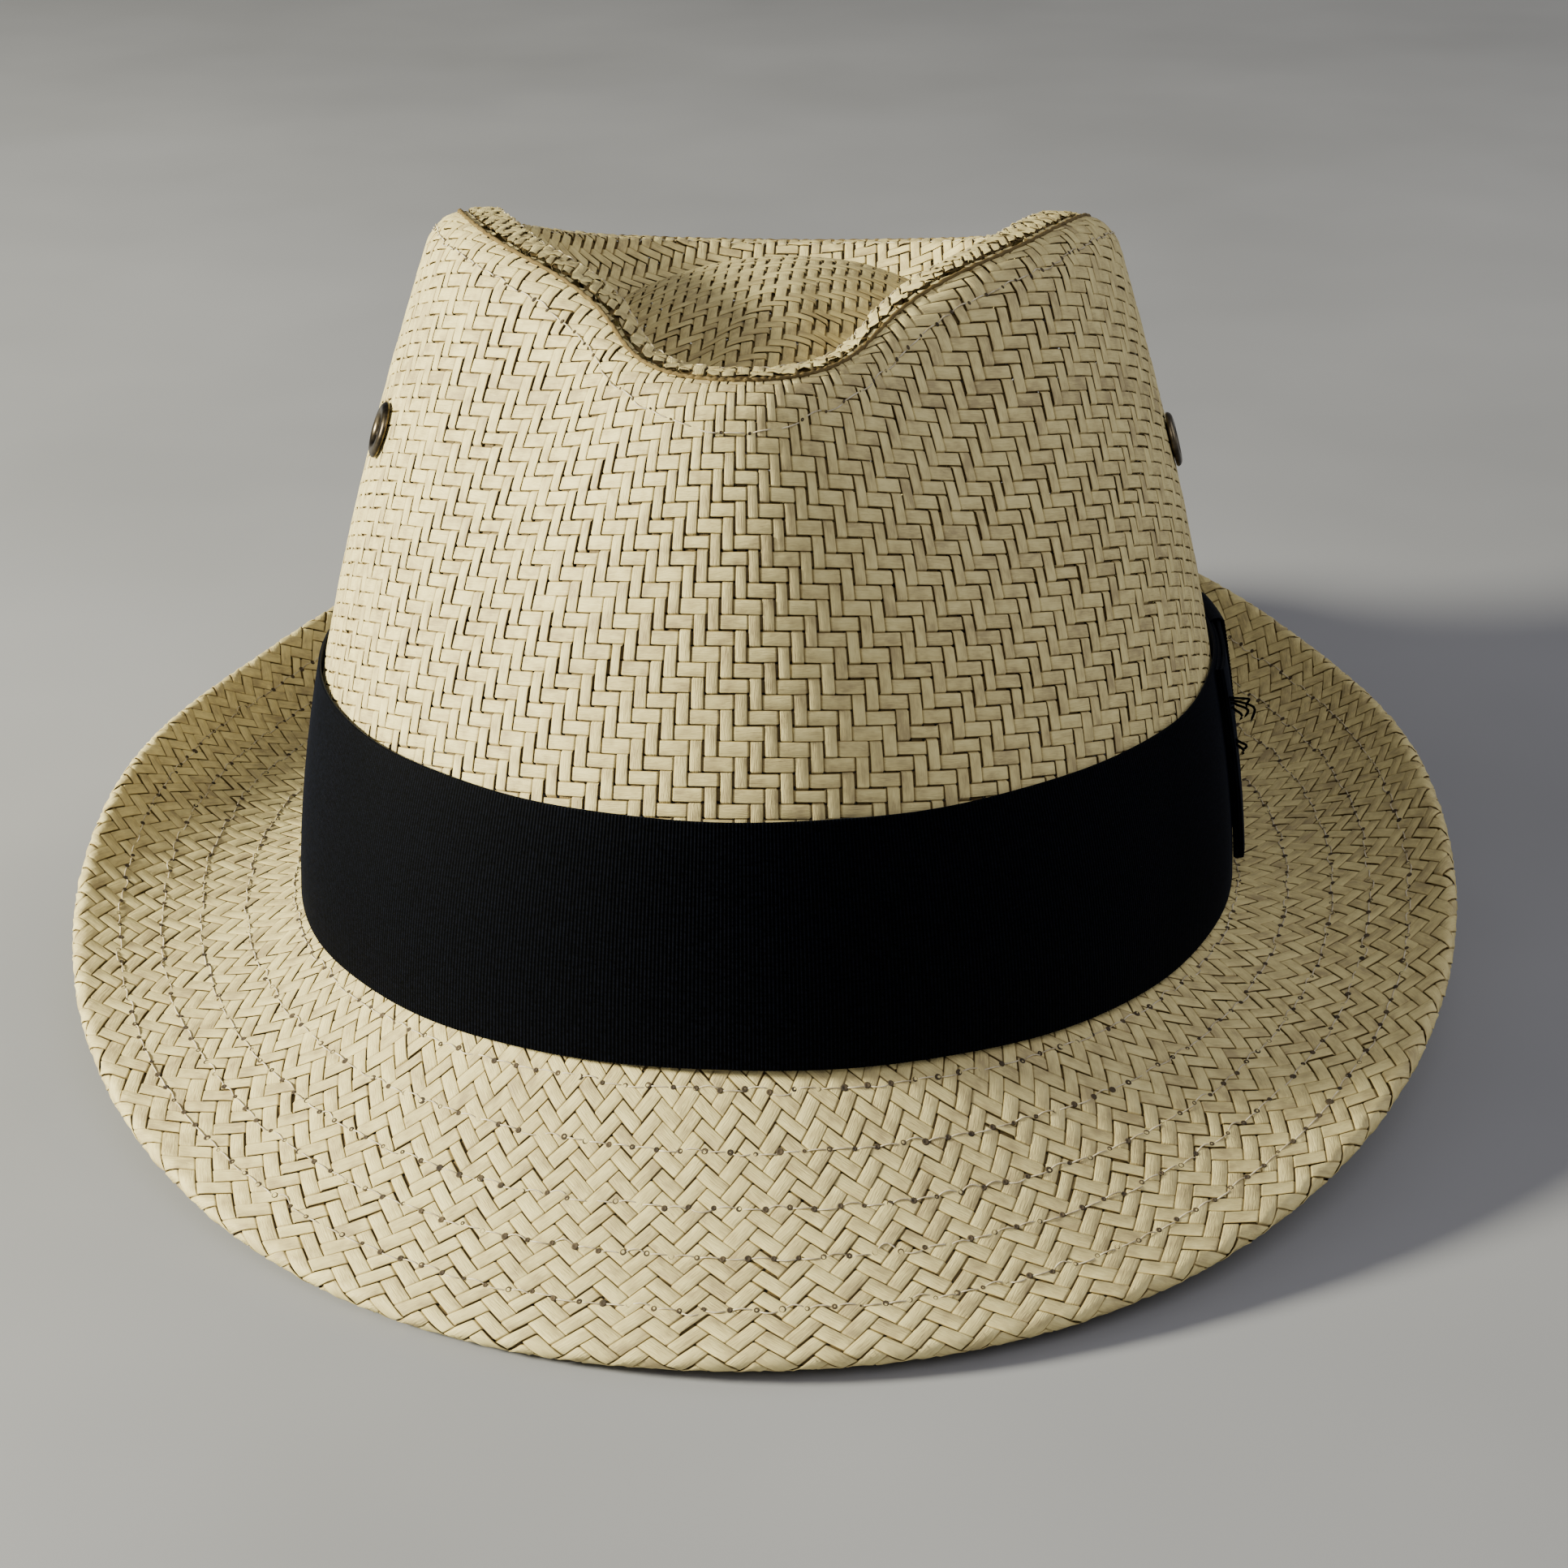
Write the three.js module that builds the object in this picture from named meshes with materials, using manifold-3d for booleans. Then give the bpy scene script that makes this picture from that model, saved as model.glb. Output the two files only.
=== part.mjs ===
// A woven paper-straw fedora with a pinched teardrop crown, a snap brim, a ribbon band and eyelets.
// Millimetres, +Z up.  The front of the hat faces -Y and the wearer's left side is +X.
// Every sheet is built in the hat's own frame, where the plane z = 0 is the break between
// crown and brim, and the finished hat is then leaned back until it rests on its brim.
import * as THREE from "three";
import { mergeVertices } from "three/addons/utils/BufferGeometryUtils.js";
import Module from "manifold-3d";

const wasm = await Module();
wasm.setup();

// ---- driving dimensions -------------------------------------------------------------------
const SECTORS = 60; // steps round the head
const DEG = Math.PI / 180;

// head oval at the break line, outside of the straw
const HEAD_HALF_WIDTH = 84;
const HEAD_HALF_LENGTH = 106;
const HEAD_SQUARENESS = 0.012;

// top edge of the crown, a teardrop with its point at the front
const RIM_HALF_WIDTH = 52.5;
const RIM_HALF_LENGTH = 87;
const RIM_TAPER = 0.36;
const RIM_SHIFT = -0.7;
const RIM_ROLL = 5.5; // radius of the rounded shoulder
const RIM_HEIGHT = [104, 105.5, 114.5, 115.5, 107, 100, 97.5]; // every 30 degrees, front to back
const CROWN_FLARE = 1.66; // above 1 the wall stands upright first and leans in higher up
const CROWN_MEAN_HEIGHT = 110;

// the two dents beside the front ridge
const PINCH_DEPTH = 6;
const PINCH_ANGLE = 43 * DEG;
const PINCH_SPREAD = 16 * DEG;
const PINCH_START = 0.15;

// brim: mean slope and curl every 30 degrees, front to back
const BRIM_WIDTH = 43.8;
const BRIM_WIDTH_SWING = 4.5; // wider at front and back than at the sides
const BRIM_SLOPE = [-34, -31, -8, 19, 25, 44, 56];
const BRIM_CURL = [12, 18, 32, 47, 55, 61, 62];
const BRIM_SKEW = 3.5; // the left side is turned up a little more
const STITCH_ROWS = [0.055, 0.27, 0.47, 0.637, 0.815]; // shares of the brim width

// dished top: a channel inside the edge, then a raised centre
const TIP_CENTRE = [4, 8];
const TIP_FLOOR = 91;
const TIP_MOUND = 105;
const TIP_CHANNEL = 0.24; // share of the way in at which the channel bottoms out
const TIP_FULLNESS = 0.6; // below 1 the mound swells early and has a broad top

// sheets
const STRAW = 0.9;
const FIT = 0.4; // clearance kept between neighbouring sheets
const BRIM_FIT = 0.3; // clearance between the sheets stitched together in the brim
const INTERLINING = 0.4;
const COLLAR_TOP = 13; // height of the collar, which is the brim turned up inside the crown
const RIBBON = 0.5;
const RIBBON_BOTTOM = 0.8;
const RIBBON_TOP = 40;
const LINING = 0.6; // thickness of the sweatband
const SWEATBAND_BOTTOM = 0.7;
const SWEATBAND_TOP = 31;
const CROWN_BOTTOM = 0.4;
const TAPE = 0.4;
const TAPE_BOTTOM = 0.88; // shares of the crown height
const TAPE_TOP = 0.94;
const TIP_DROP = 1.3; // thickness of the top measured straight down, enough on its steep walls
const TOPSTITCH = 0.975; // share of the crown height
const THREAD = 0.12;
const THREAD_LIFT = 0.25;

// eyelets, one on each side
const EYELET_RIGHT = { angle: -75 * DEG, height: 0.705 };
const EYELET_LEFT = { angle: 91 * DEG, height: 0.655 };
const EYELET_HOLE = 2.5;
const EYELET_NECK = 2.9;
const EYELET_FLANGE = 4.9;
const EYELET_CUT = 3.3;
const EYELET_STEPS = 20;
const EYELET_CROWNING = 1.1; // height of the flange's crest above its seat
const EYELET_CURL = 1.2; // width of the end rolled out behind the washer
const EYELET_METAL = 0.5;
const WASHER = 0.6;
const PUNCH_LENGTH = 6;

// flat bow on the wearer's left
const BOW_CENTRE = 100 * DEG;
const BOW_FRONT = 79 * DEG;
const BOW_REAR = 121 * DEG;
const BOW_BOTTOM = 5;
const BOW_TOP = 39.5;
const BOW_THIN = 0.9; // thickness of a loop at its free end
const BOW_SWELL = 0.9; // how much thicker it is beside the knot
const BOW_REACH = 22 * DEG;
const KNOT_HALF = 5.2 * DEG;
const KNOT_OVERLAP = 2; // by which the knot covers the loops' lower hems
const KNOT_THICK = 2.8;
const KNOT_CROWNING = 0.8;
const KNOT_GAP = 0.4 * DEG;

const STRAW_CREAM = { color: 0xd8c79a, roughness: 0.75, metalness: 0 };
const RIBBON_BLACK = { color: 0x0b0c12, roughness: 0.8, metalness: 0 };
const THREAD_WHITE = { color: 0xd9d6cc, roughness: 0.6, metalness: 0 };
const BAND_BROWN = { color: 0x2a2320, roughness: 0.6, metalness: 0 };
const STIFFENER_WHITE = { color: 0xe6e2d8, roughness: 0.9, metalness: 0 };
const ANTIQUE_BRASS = { color: 0x6b5a3a, roughness: 0.35, metalness: 1 };

// ---- surfaces -----------------------------------------------------------------------------
// Values given every 30 degrees from front to back, mirrored to the other side and blended.
function roundTheHead(stations, angle) {
  const turn = Math.abs(Math.atan2(Math.sin(angle), Math.cos(angle))) / (30 * DEG);
  const last = stations.length - 1;
  const at = (i) => stations[i < 0 ? -i : i > last ? 2 * last - i : i];
  const i = Math.min(Math.floor(turn), last - 1);
  const u = turn - i;
  const [a, b, c, d] = [at(i - 1), at(i), at(i + 1), at(i + 2)];
  return b + 0.5 * u * (c - a + u * (2 * a - 5 * b + 4 * c - d + u * (3 * (b - c) + d - a)));
}

function headOval(angle) {
  const k = HEAD_SQUARENESS;
  return new THREE.Vector2(
    (HEAD_HALF_WIDTH * (Math.sin(angle) + k * Math.sin(3 * angle))) / (1 - k),
    (-HEAD_HALF_LENGTH * (Math.cos(angle) - k * Math.cos(3 * angle))) / (1 - k),
  );
}

function headNormal(angle) {
  const step = 1e-3;
  const along = headOval(angle + step).sub(headOval(angle - step)).normalize();
  return new THREE.Vector2(along.y, -along.x);
}

// Outer face of the crown wall: height runs from 0 at the break line to 1 at the top seam.
function crownWall(angle, height) {
  const foot = headOval(angle);
  const out = new THREE.Vector2(Math.sin(angle), -Math.cos(angle));
  const rim = new THREE.Vector2(
    RIM_HALF_WIDTH * Math.sin(angle) * (1 - RIM_TAPER * Math.cos(angle)),
    -RIM_HALF_LENGTH * Math.cos(angle) + RIM_SHIFT,
  ).addScaledVector(out, RIM_ROLL);
  const lean = height <= 0 ? 0 : height ** CROWN_FLARE;
  const beside = (Math.abs(Math.atan2(out.x, -out.y)) - PINCH_ANGLE) / PINCH_SPREAD;
  const risen = Math.max(0, (height - PINCH_START) / (1 - PINCH_START));
  const dent = PINCH_DEPTH * Math.exp(-beside * beside) * risen ** 1.5;
  const shoulder = RIM_ROLL / CROWN_MEAN_HEIGHT;
  const over = Math.min(1, Math.max(0, (height - 1 + shoulder) / shoulder));
  const rolled = RIM_ROLL * (1 - Math.sqrt(1 - over * over));
  const plan = foot.lerp(rim, lean).addScaledVector(out, -dent - rolled);
  return new THREE.Vector3(plan.x, plan.y, height * roundTheHead(RIM_HEIGHT, angle));
}

// Outward normal of the crown wall.
function crownNormal(angle, height) {
  const step = 1e-3;
  const h = Math.min(height, 1 - 2 * step);
  const round = crownWall(angle + step, h).sub(crownWall(angle - step, h));
  const up = crownWall(angle, h + step).sub(crownWall(angle, h - step));
  return round.cross(up).normalize();
}

function underWall(angle, height, depth) {
  return crownWall(angle, height).addScaledVector(crownNormal(angle, height), -depth);
}

// The same, for a height given in millimetres above the break line.
function atLevel(angle, level, depth) {
  return underWall(angle, level / roundTheHead(RIM_HEIGHT, angle), depth);
}

// Upper face of the brim: share runs from 0 at the break line to 1 at the edge, along an arc.
function brimPoint(angle, share, depth) {
  const foot = headOval(angle);
  const out = headNormal(angle);
  const skew = BRIM_SKEW * Math.sin(angle);
  const mean = (roundTheHead(BRIM_SLOPE, angle) + skew) * DEG;
  const curl = roundTheHead(BRIM_CURL, angle) * DEG;
  const width = BRIM_WIDTH + BRIM_WIDTH_SWING * Math.cos(2 * angle);
  const start = mean - curl / 2;
  const slope = start + curl * share;
  const run = (width * (Math.sin(slope) - Math.sin(start))) / curl;
  const rise = (width * (Math.cos(start) - Math.cos(slope))) / curl;
  return new THREE.Vector3(
    foot.x + out.x * (run + depth * Math.sin(slope)),
    foot.y + out.y * (run + depth * Math.sin(slope)),
    rise - depth * Math.cos(slope),
  );
}

// Upper face of the dished top: share runs from 0 at the seam to 1 at the centre.
function tipPoint(angle, share, drop) {
  const seam = crownWall(angle, 1);
  const out = new THREE.Vector3(Math.sin(angle), -Math.cos(angle), 0);
  const edge = seam.clone().addScaledVector(out, -FIT);
  const centre = new THREE.Vector3(...TIP_CENTRE, 0);
  const plan = edge.clone().lerp(centre, share);
  const fall = THREE.MathUtils.smoothstep(share, 0, TIP_CHANNEL);
  const inward = Math.max(0, share - TIP_CHANNEL) / (1 - TIP_CHANNEL);
  const swell = THREE.MathUtils.smoothstep(inward ** TIP_FULLNESS, 0, 1);
  const z = seam.z + (TIP_FLOOR - seam.z) * fall + (TIP_MOUND - TIP_FLOOR) * swell;
  return new THREE.Vector3(plan.x, plan.y, z - drop);
}

// ---- mesh makers --------------------------------------------------------------------------
function solid(points, triangles) {
  const position = new Float32Array(points.flatMap((p) => [p.x, p.y, p.z]));
  const geometry = new THREE.BufferGeometry();
  geometry.setAttribute("position", new THREE.BufferAttribute(position, 3));
  geometry.setIndex(signedVolume(points, triangles) < 0 ? turned(triangles) : triangles);
  return geometry;
}

function signedVolume(points, triangles) {
  let six = 0;
  for (let i = 0; i < triangles.length; i += 3) {
    const [a, b, c] = [points[triangles[i]], points[triangles[i + 1]], points[triangles[i + 2]]];
    six += a.dot(b.clone().cross(c));
  }
  return six / 6;
}

function turned(triangles) {
  return triangles.map((_, i) => triangles[i - (i % 3) + ((3 - (i % 3)) % 3)]);
}

// A closed outline carried once round the head makes a ring.
function ring(outline) {
  const points = [];
  const triangles = [];
  for (let i = 0; i < SECTORS; i++) points.push(...outline((i * 2 * Math.PI) / SECTORS));
  const count = points.length / SECTORS;
  for (let i = 0; i < SECTORS; i++) {
    for (let j = 0; j < count; j++) {
      const a = i * count + j;
      const b = i * count + ((j + 1) % count);
      const c = ((i + 1) % SECTORS) * count + j;
      const d = ((i + 1) % SECTORS) * count + ((j + 1) % count);
      triangles.push(a, b, d, a, d, c);
    }
  }
  return solid(points, triangles);
}

// A sheet that goes round the head. Both faces have matching rows and are split along the
// same diagonals, so neighbouring sheets stay the same distance apart.
function band(faces) {
  const points = [];
  const triangles = [];
  const rows = faces(0)[0].length;
  for (let i = 0; i < SECTORS; i++) points.push(...faces((i * 2 * Math.PI) / SECTORS).flat());
  const at = (face, row, i) => ((i % SECTORS) * 2 + face) * rows + row;
  for (let i = 0; i < SECTORS; i++) {
    for (let row = 0; row < rows - 1; row++) {
      const [a, b, c, d] = [at(0, row, i), at(0, row + 1, i), at(0, row + 1, i + 1), at(0, row, i + 1)];
      const [e, f, g, h] = [a + rows, b + rows, c + rows, d + rows];
      triangles.push(a, b, c, a, c, d, e, g, f, e, h, g);
    }
    for (const [row, first, second] of [[0, 1, 0], [rows - 1, 0, 1]]) {
      const [a, b] = [at(first, row, i), at(second, row, i)];
      const [c, d] = [at(second, row, i + 1), at(first, row, i + 1)];
      triangles.push(a, b, c, a, c, d);
    }
  }
  return solid(points, triangles);
}

// Two sheets of rings, joined at the outer edge and each closed at the centre, make a dish.
function dish(shares, point, thickness) {
  const points = [point(0, 1, 0), point(0, 1, thickness)];
  const rows = shares.length;
  for (const drop of [0, thickness])
    for (const share of shares)
      for (let i = 0; i < SECTORS; i++) points.push(point((i * 2 * Math.PI) / SECTORS, share, drop));
  const at = (face, row, i) => 2 + (face * rows + row) * SECTORS + (i % SECTORS);
  const triangles = [];
  for (let i = 0; i < SECTORS; i++) {
    const edge = [at(0, 0, i), at(1, 0, i), at(1, 0, i + 1), at(0, 0, i + 1)];
    for (let row = 0; row < rows - 1; row++) {
      const top = [at(0, row, i), at(0, row, i + 1), at(0, row + 1, i + 1), at(0, row + 1, i)];
      const base = [at(1, row, i), at(1, row + 1, i), at(1, row + 1, i + 1), at(1, row, i + 1)];
      for (const [a, b, c, d] of [top, base]) triangles.push(a, b, c, a, c, d);
    }
    triangles.push(edge[0], edge[1], edge[2], edge[0], edge[2], edge[3]);
    triangles.push(at(0, rows - 1, i), at(0, rows - 1, i + 1), 0);
    triangles.push(at(1, rows - 1, i + 1), at(1, rows - 1, i), 1);
  }
  return solid(points, triangles);
}

// A closed outline carried from one angle to another, with both ends closed, makes a block.
// The outline goes up one face and back down the other, so each end is closed by a ladder.
function wallBlock(angles, outline) {
  const points = angles.flatMap((angle) => outline(angle));
  const count = points.length / angles.length;
  const triangles = [];
  for (let i = 0; i < angles.length - 1; i++) {
    for (let j = 0; j < count; j++) {
      const a = i * count + j;
      const b = i * count + ((j + 1) % count);
      triangles.push(a, b, b + count, a, b + count, a + count);
    }
  }
  const last = (angles.length - 1) * count;
  for (let j = 0; j < count / 2 - 1; j++) {
    const [a, b, c, d] = [j, j + 1, count - 2 - j, count - 1 - j];
    triangles.push(a, c, b, a, d, c);
    triangles.push(last + a, last + b, last + c, last + a, last + c, last + d);
  }
  return solid(points, triangles);
}

function steps(from, to, count) {
  return Array.from({ length: count + 1 }, (_, i) => from + ((to - from) * i) / count);
}

// Three-sided thread on a surface given by a point and two directions across the thread.
function thread(centre, lift, across) {
  return [0, 1, 2].map((k) => {
    const turn = (k * 2 * Math.PI) / 3;
    return centre
      .clone()
      .addScaledVector(lift, THREAD * Math.cos(turn))
      .addScaledVector(across, THREAD * Math.sin(turn));
  });
}

// ---- pieces -------------------------------------------------------------------------------
const WALL_LEVELS = [CROWN_BOTTOM, COLLAR_TOP, SWEATBAND_TOP, RIBBON_TOP]; // millimetres
const WALL_SHARES = [0.52, 0.68, 0.82, 0.9, 0.955, TOPSTITCH, 0.99, 1]; // of the crown height
const BRIM_SHARES = [0, ...STITCH_ROWS, 1];
const BRIM_LIP = 1.018; // the upper sheet is folded down over the edge of the lower ones
const UNDER_SHARE = 0.99; // the inner sheets stop just short of the fold
const INTERLINING_DEPTH = STRAW + BRIM_FIT;
const LOWER_DEPTH = INTERLINING_DEPTH + INTERLINING + BRIM_FIT;
const BRIM_DEPTH = LOWER_DEPTH + STRAW;

function crownSide() {
  return band((angle) =>
    [0, STRAW].map((depth) => [
      ...WALL_LEVELS.map((level) => atLevel(angle, level, depth)),
      ...WALL_SHARES.map((share) => underWall(angle, share, depth)),
    ]),
  );
}

// A sheet that hugs the crown wall between two depths, with rows at the given levels.
function levelBand(levels, from, to) {
  return band((angle) => [from, to].map((depth) => levels.map((z) => atLevel(angle, z, depth))));
}

function crownTip() {
  const shares = [0, 0.04, 0.09, 0.14, 0.19, TIP_CHANNEL, 0.36, 0.5, 0.66, 0.83];
  return dish(shares, tipPoint, TIP_DROP);
}

function seamTape() {
  const depth = STRAW + FIT;
  const heights = [TAPE_BOTTOM, (TAPE_BOTTOM + TAPE_TOP) / 2, TAPE_TOP];
  return band((angle) =>
    [depth, depth + TAPE].map((d) => heights.map((h) => underWall(angle, h, d))),
  );
}

function topstitch() {
  return ring((angle) => {
    const lift = crownNormal(angle, TOPSTITCH);
    const up = crownWall(angle, TOPSTITCH + 0.01).sub(crownWall(angle, TOPSTITCH - 0.01)).normalize();
    return thread(underWall(angle, TOPSTITCH, -THREAD_LIFT), lift, up);
  });
}

function brimUpper() {
  const collar = STRAW + FIT;
  const rows = BRIM_SHARES.slice(0, -1);
  const turnedUp = [COLLAR_TOP, COLLAR_TOP / 2];
  return band((angle) => [
    [
      ...turnedUp.map((z) => atLevel(angle, z, collar)),
      underWall(angle, 0, collar),
      ...rows.map((s) => brimPoint(angle, s, 0)),
      brimPoint(angle, BRIM_LIP, 0),
      brimPoint(angle, BRIM_LIP, BRIM_DEPTH),
    ],
    [
      ...turnedUp.map((z) => atLevel(angle, z, collar + STRAW)),
      underWall(angle, 0, collar + STRAW).setZ(-STRAW),
      ...rows.map((s) => brimPoint(angle, s, STRAW)),
      brimPoint(angle, 1, STRAW),
      brimPoint(angle, 1, BRIM_DEPTH),
    ],
  ]);
}

function brimSheet(depth, thickness) {
  const shares = [...BRIM_SHARES.slice(0, -1), UNDER_SHARE];
  return band((angle) => [depth, depth + thickness].map((d) => shares.map((s) => brimPoint(angle, s, d))));
}

function brimStitch(share) {
  return ring((angle) => {
    const centre = brimPoint(angle, share, -THREAD_LIFT);
    const lift = brimPoint(angle, share, -1).sub(brimPoint(angle, share, 0));
    const across = brimPoint(angle, share + 0.01, 0).sub(brimPoint(angle, share - 0.01, 0));
    return thread(centre, lift, across.normalize());
  });
}

function hatband() {
  const levels = [RIBBON_BOTTOM, COLLAR_TOP, SWEATBAND_TOP, RIBBON_TOP];
  return levelBand(levels, -FIT - RIBBON, -FIT);
}

function sweatband() {
  const depth = STRAW + FIT + STRAW + FIT;
  return levelBand([SWEATBAND_BOTTOM, COLLAR_TOP, SWEATBAND_TOP], depth, depth + LINING);
}

// A piece laid on the hatband between two angles, with its own thickness at each angle.
function onHatband(from, to, bottom, top, thickness) {
  const foot = FIT + RIBBON + FIT;
  const levels = steps(bottom, top, 3);
  return wallBlock(steps(from, to, 4), (angle) => [
    ...levels.map((z) => atLevel(angle, z, -foot)),
    ...levels.toReversed().map((z) => atLevel(angle, z, -foot - thickness(angle))),
  ]);
}

// A flattened loop of ribbon, thicker where it springs from the knot.
function bowLoop(from, to) {
  const thickness = (angle) => {
    const away = Math.min(1, Math.abs(angle - BOW_CENTRE) / BOW_REACH);
    return BOW_THIN + BOW_SWELL * (1 - away);
  };
  return onHatband(from, to, BOW_BOTTOM, BOW_TOP, thickness);
}

function bowKnot() {
  const [from, to] = [BOW_CENTRE - KNOT_HALF, BOW_CENTRE + KNOT_HALF];
  const thickness = (angle) => KNOT_THICK - KNOT_CROWNING * ((angle - BOW_CENTRE) / KNOT_HALF) ** 2;
  return onHatband(from, to, BOW_BOTTOM - KNOT_OVERLAP, BOW_TOP + KNOT_OVERLAP / 2, thickness);
}

// Frame of an eyelet: origin on the outer face of the wall, +Z along the outward normal.
function eyeletFrame({ angle, height }) {
  const normal = crownNormal(angle, height);
  const up = crownWall(angle, height + 0.01).sub(crownWall(angle, height - 0.01)).normalize();
  const across = up.clone().cross(normal);
  const frame = new THREE.Matrix4().makeBasis(across, up, normal);
  return frame.setPosition(crownWall(angle, height));
}

function lathed(outline, place) {
  const profile = [...outline, outline[0]].map(([radius, z]) => new THREE.Vector2(radius, z));
  const geometry = new THREE.LatheGeometry(profile, EYELET_STEPS).rotateX(Math.PI / 2);
  geometry.deleteAttribute("uv").deleteAttribute("normal");
  const merged = mergeVertices(geometry.applyMatrix4(place), 1e-4);
  const array = merged.attributes.position.array;
  const points = Array.from({ length: array.length / 3 }, (_, i) =>
    new THREE.Vector3().fromArray(array, 3 * i),
  );
  return solid(points, withoutSlivers([...merged.index.array]));
}

function withoutSlivers(index) {
  const kept = [];
  for (let i = 0; i < index.length; i += 3) {
    const [a, b, c] = index.slice(i, i + 3);
    if (a !== b && b !== c && a !== c) kept.push(a, b, c);
  }
  return kept;
}

function eyeletBarrel(seat) {
  const face = FIT; // underside of the flange above the straw
  const inside = -STRAW - FIT - WASHER - FIT; // upper side of the rolled end, below the washer
  const crest = (EYELET_HOLE + EYELET_FLANGE) / 2;
  return lathed(
    [
      [EYELET_HOLE, face + EYELET_METAL],
      [crest - EYELET_METAL, face + EYELET_CROWNING],
      [crest + EYELET_METAL, face + EYELET_CROWNING],
      [EYELET_FLANGE, face + EYELET_METAL / 2],
      [EYELET_FLANGE - EYELET_METAL / 2, face],
      [EYELET_NECK, face],
      [EYELET_NECK, inside],
      [EYELET_NECK + EYELET_CURL, inside],
      [EYELET_NECK + EYELET_CURL, inside - EYELET_METAL],
      [EYELET_HOLE, inside - EYELET_METAL],
    ],
    eyeletFrame(seat),
  );
}

function eyeletWasher(seat) {
  const top = -STRAW - FIT;
  return lathed(
    [
      [EYELET_CUT, top],
      [EYELET_CUT, top - WASHER],
      [EYELET_FLANGE, top - WASHER],
      [EYELET_FLANGE, top],
    ],
    eyeletFrame(seat),
  );
}

function manifoldOf(geometry) {
  return new wasm.Manifold(
    new wasm.Mesh({
      numProp: 3,
      vertProperties: new Float32Array(geometry.attributes.position.array),
      triVerts: new Uint32Array(geometry.index.array),
    }),
  );
}

// The crown wall with a hole punched for each eyelet.
function punched(geometry, seats) {
  let body = manifoldOf(geometry);
  for (const seat of seats) {
    const punch = new THREE.CylinderGeometry(EYELET_CUT, EYELET_CUT, PUNCH_LENGTH, EYELET_STEPS);
    punch.rotateX(Math.PI / 2).deleteAttribute("uv").deleteAttribute("normal");
    body = body.subtract(manifoldOf(mergeVertices(punch.applyMatrix4(eyeletFrame(seat)), 1e-4)));
  }
  const mesh = body.getMesh();
  const cut = new THREE.BufferGeometry();
  cut.setAttribute("position", new THREE.BufferAttribute(new Float32Array(mesh.vertProperties), 3));
  cut.setIndex([...mesh.triVerts]);
  return cut;
}

// ---- assembly -----------------------------------------------------------------------------
const hat = new THREE.Group();
hat.name = "fedora_hat";

function add(name, geometry, look) {
  const mesh = new THREE.Mesh(geometry, new THREE.MeshStandardMaterial(look));
  mesh.name = name;
  hat.add(mesh);
}

add("crown_side", punched(crownSide(), [EYELET_RIGHT, EYELET_LEFT]), STRAW_CREAM);
add("crown_tip", crownTip(), STRAW_CREAM);
add("tip_seam_tape", seamTape(), STIFFENER_WHITE);
add("crown_topstitch", topstitch(), THREAD_WHITE);
add("brim_upper", brimUpper(), STRAW_CREAM);
add("brim_interlining", brimSheet(INTERLINING_DEPTH, INTERLINING), STIFFENER_WHITE);
add("brim_lower", brimSheet(LOWER_DEPTH, STRAW), STRAW_CREAM);
STITCH_ROWS.forEach((share, i) => add(`brim_stitch_${i + 1}`, brimStitch(share), THREAD_WHITE));
add("hatband", hatband(), RIBBON_BLACK);
add("bow_loop_front", bowLoop(BOW_FRONT, BOW_CENTRE - KNOT_HALF - KNOT_GAP), RIBBON_BLACK);
add("bow_loop_rear", bowLoop(BOW_CENTRE + KNOT_HALF + KNOT_GAP, BOW_REAR), RIBBON_BLACK);
add("bow_knot", bowKnot(), RIBBON_BLACK);
add("sweatband", sweatband(), BAND_BROWN);
add("eyelet_right", eyeletBarrel(EYELET_RIGHT), ANTIQUE_BRASS);
add("eyelet_right_washer", eyeletWasher(EYELET_RIGHT), ANTIQUE_BRASS);
add("eyelet_left", eyeletBarrel(EYELET_LEFT), ANTIQUE_BRASS);
add("eyelet_left_washer", eyeletWasher(EYELET_LEFT), ANTIQUE_BRASS);

// Lean the hat back until the front edge of the brim and the foot of its back share one level.
function restingPose(group) {
  const corners = group.children.flatMap((mesh) => {
    const array = mesh.geometry.attributes.position.array;
    return Array.from({ length: array.length / 3 }, (_, i) => [array[3 * i + 1], array[3 * i + 2]]);
  });
  let lean = 0;
  let lowest = 0;
  for (let round = 0; round < 12; round++) {
    const height = ([y, z]) => z * Math.cos(lean) - y * Math.sin(lean);
    const lower = (a, b) => (height(b) < height(a) ? b : a);
    const front = corners.filter(([y]) => y < 0).reduce(lower);
    const back = corners.filter(([y]) => y > 0).reduce(lower);
    lowest = Math.min(height(front), height(back));
    lean = Math.atan2(back[1] - front[1], back[0] - front[0]);
  }
  return { lean, lowest };
}

const { lean, lowest } = restingPose(hat);
for (const mesh of hat.children) mesh.geometry.rotateX(-lean).translate(0, 0, -lowest);

// The origin is on the resting surface, under the middle of the hat's box.
const middle = new THREE.Box3().setFromObject(hat).getCenter(new THREE.Vector3());
for (const mesh of hat.children) mesh.geometry.translate(-middle.x, -middle.y, 0);

export default hat;
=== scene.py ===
"""Looks of the woven paper-straw fedora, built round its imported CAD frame.

Every sheet is worked out in millimetres in the hat's own frame, where z = 0 is the break
between crown and brim, angle 0 is the front (-Y) and positive angles turn towards +X, the
wearer's left. place() leans the result back onto its brim, as the CAD part is.
"""

import math

import bpy
import numpy as np
from mathutils import Matrix, Vector


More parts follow.
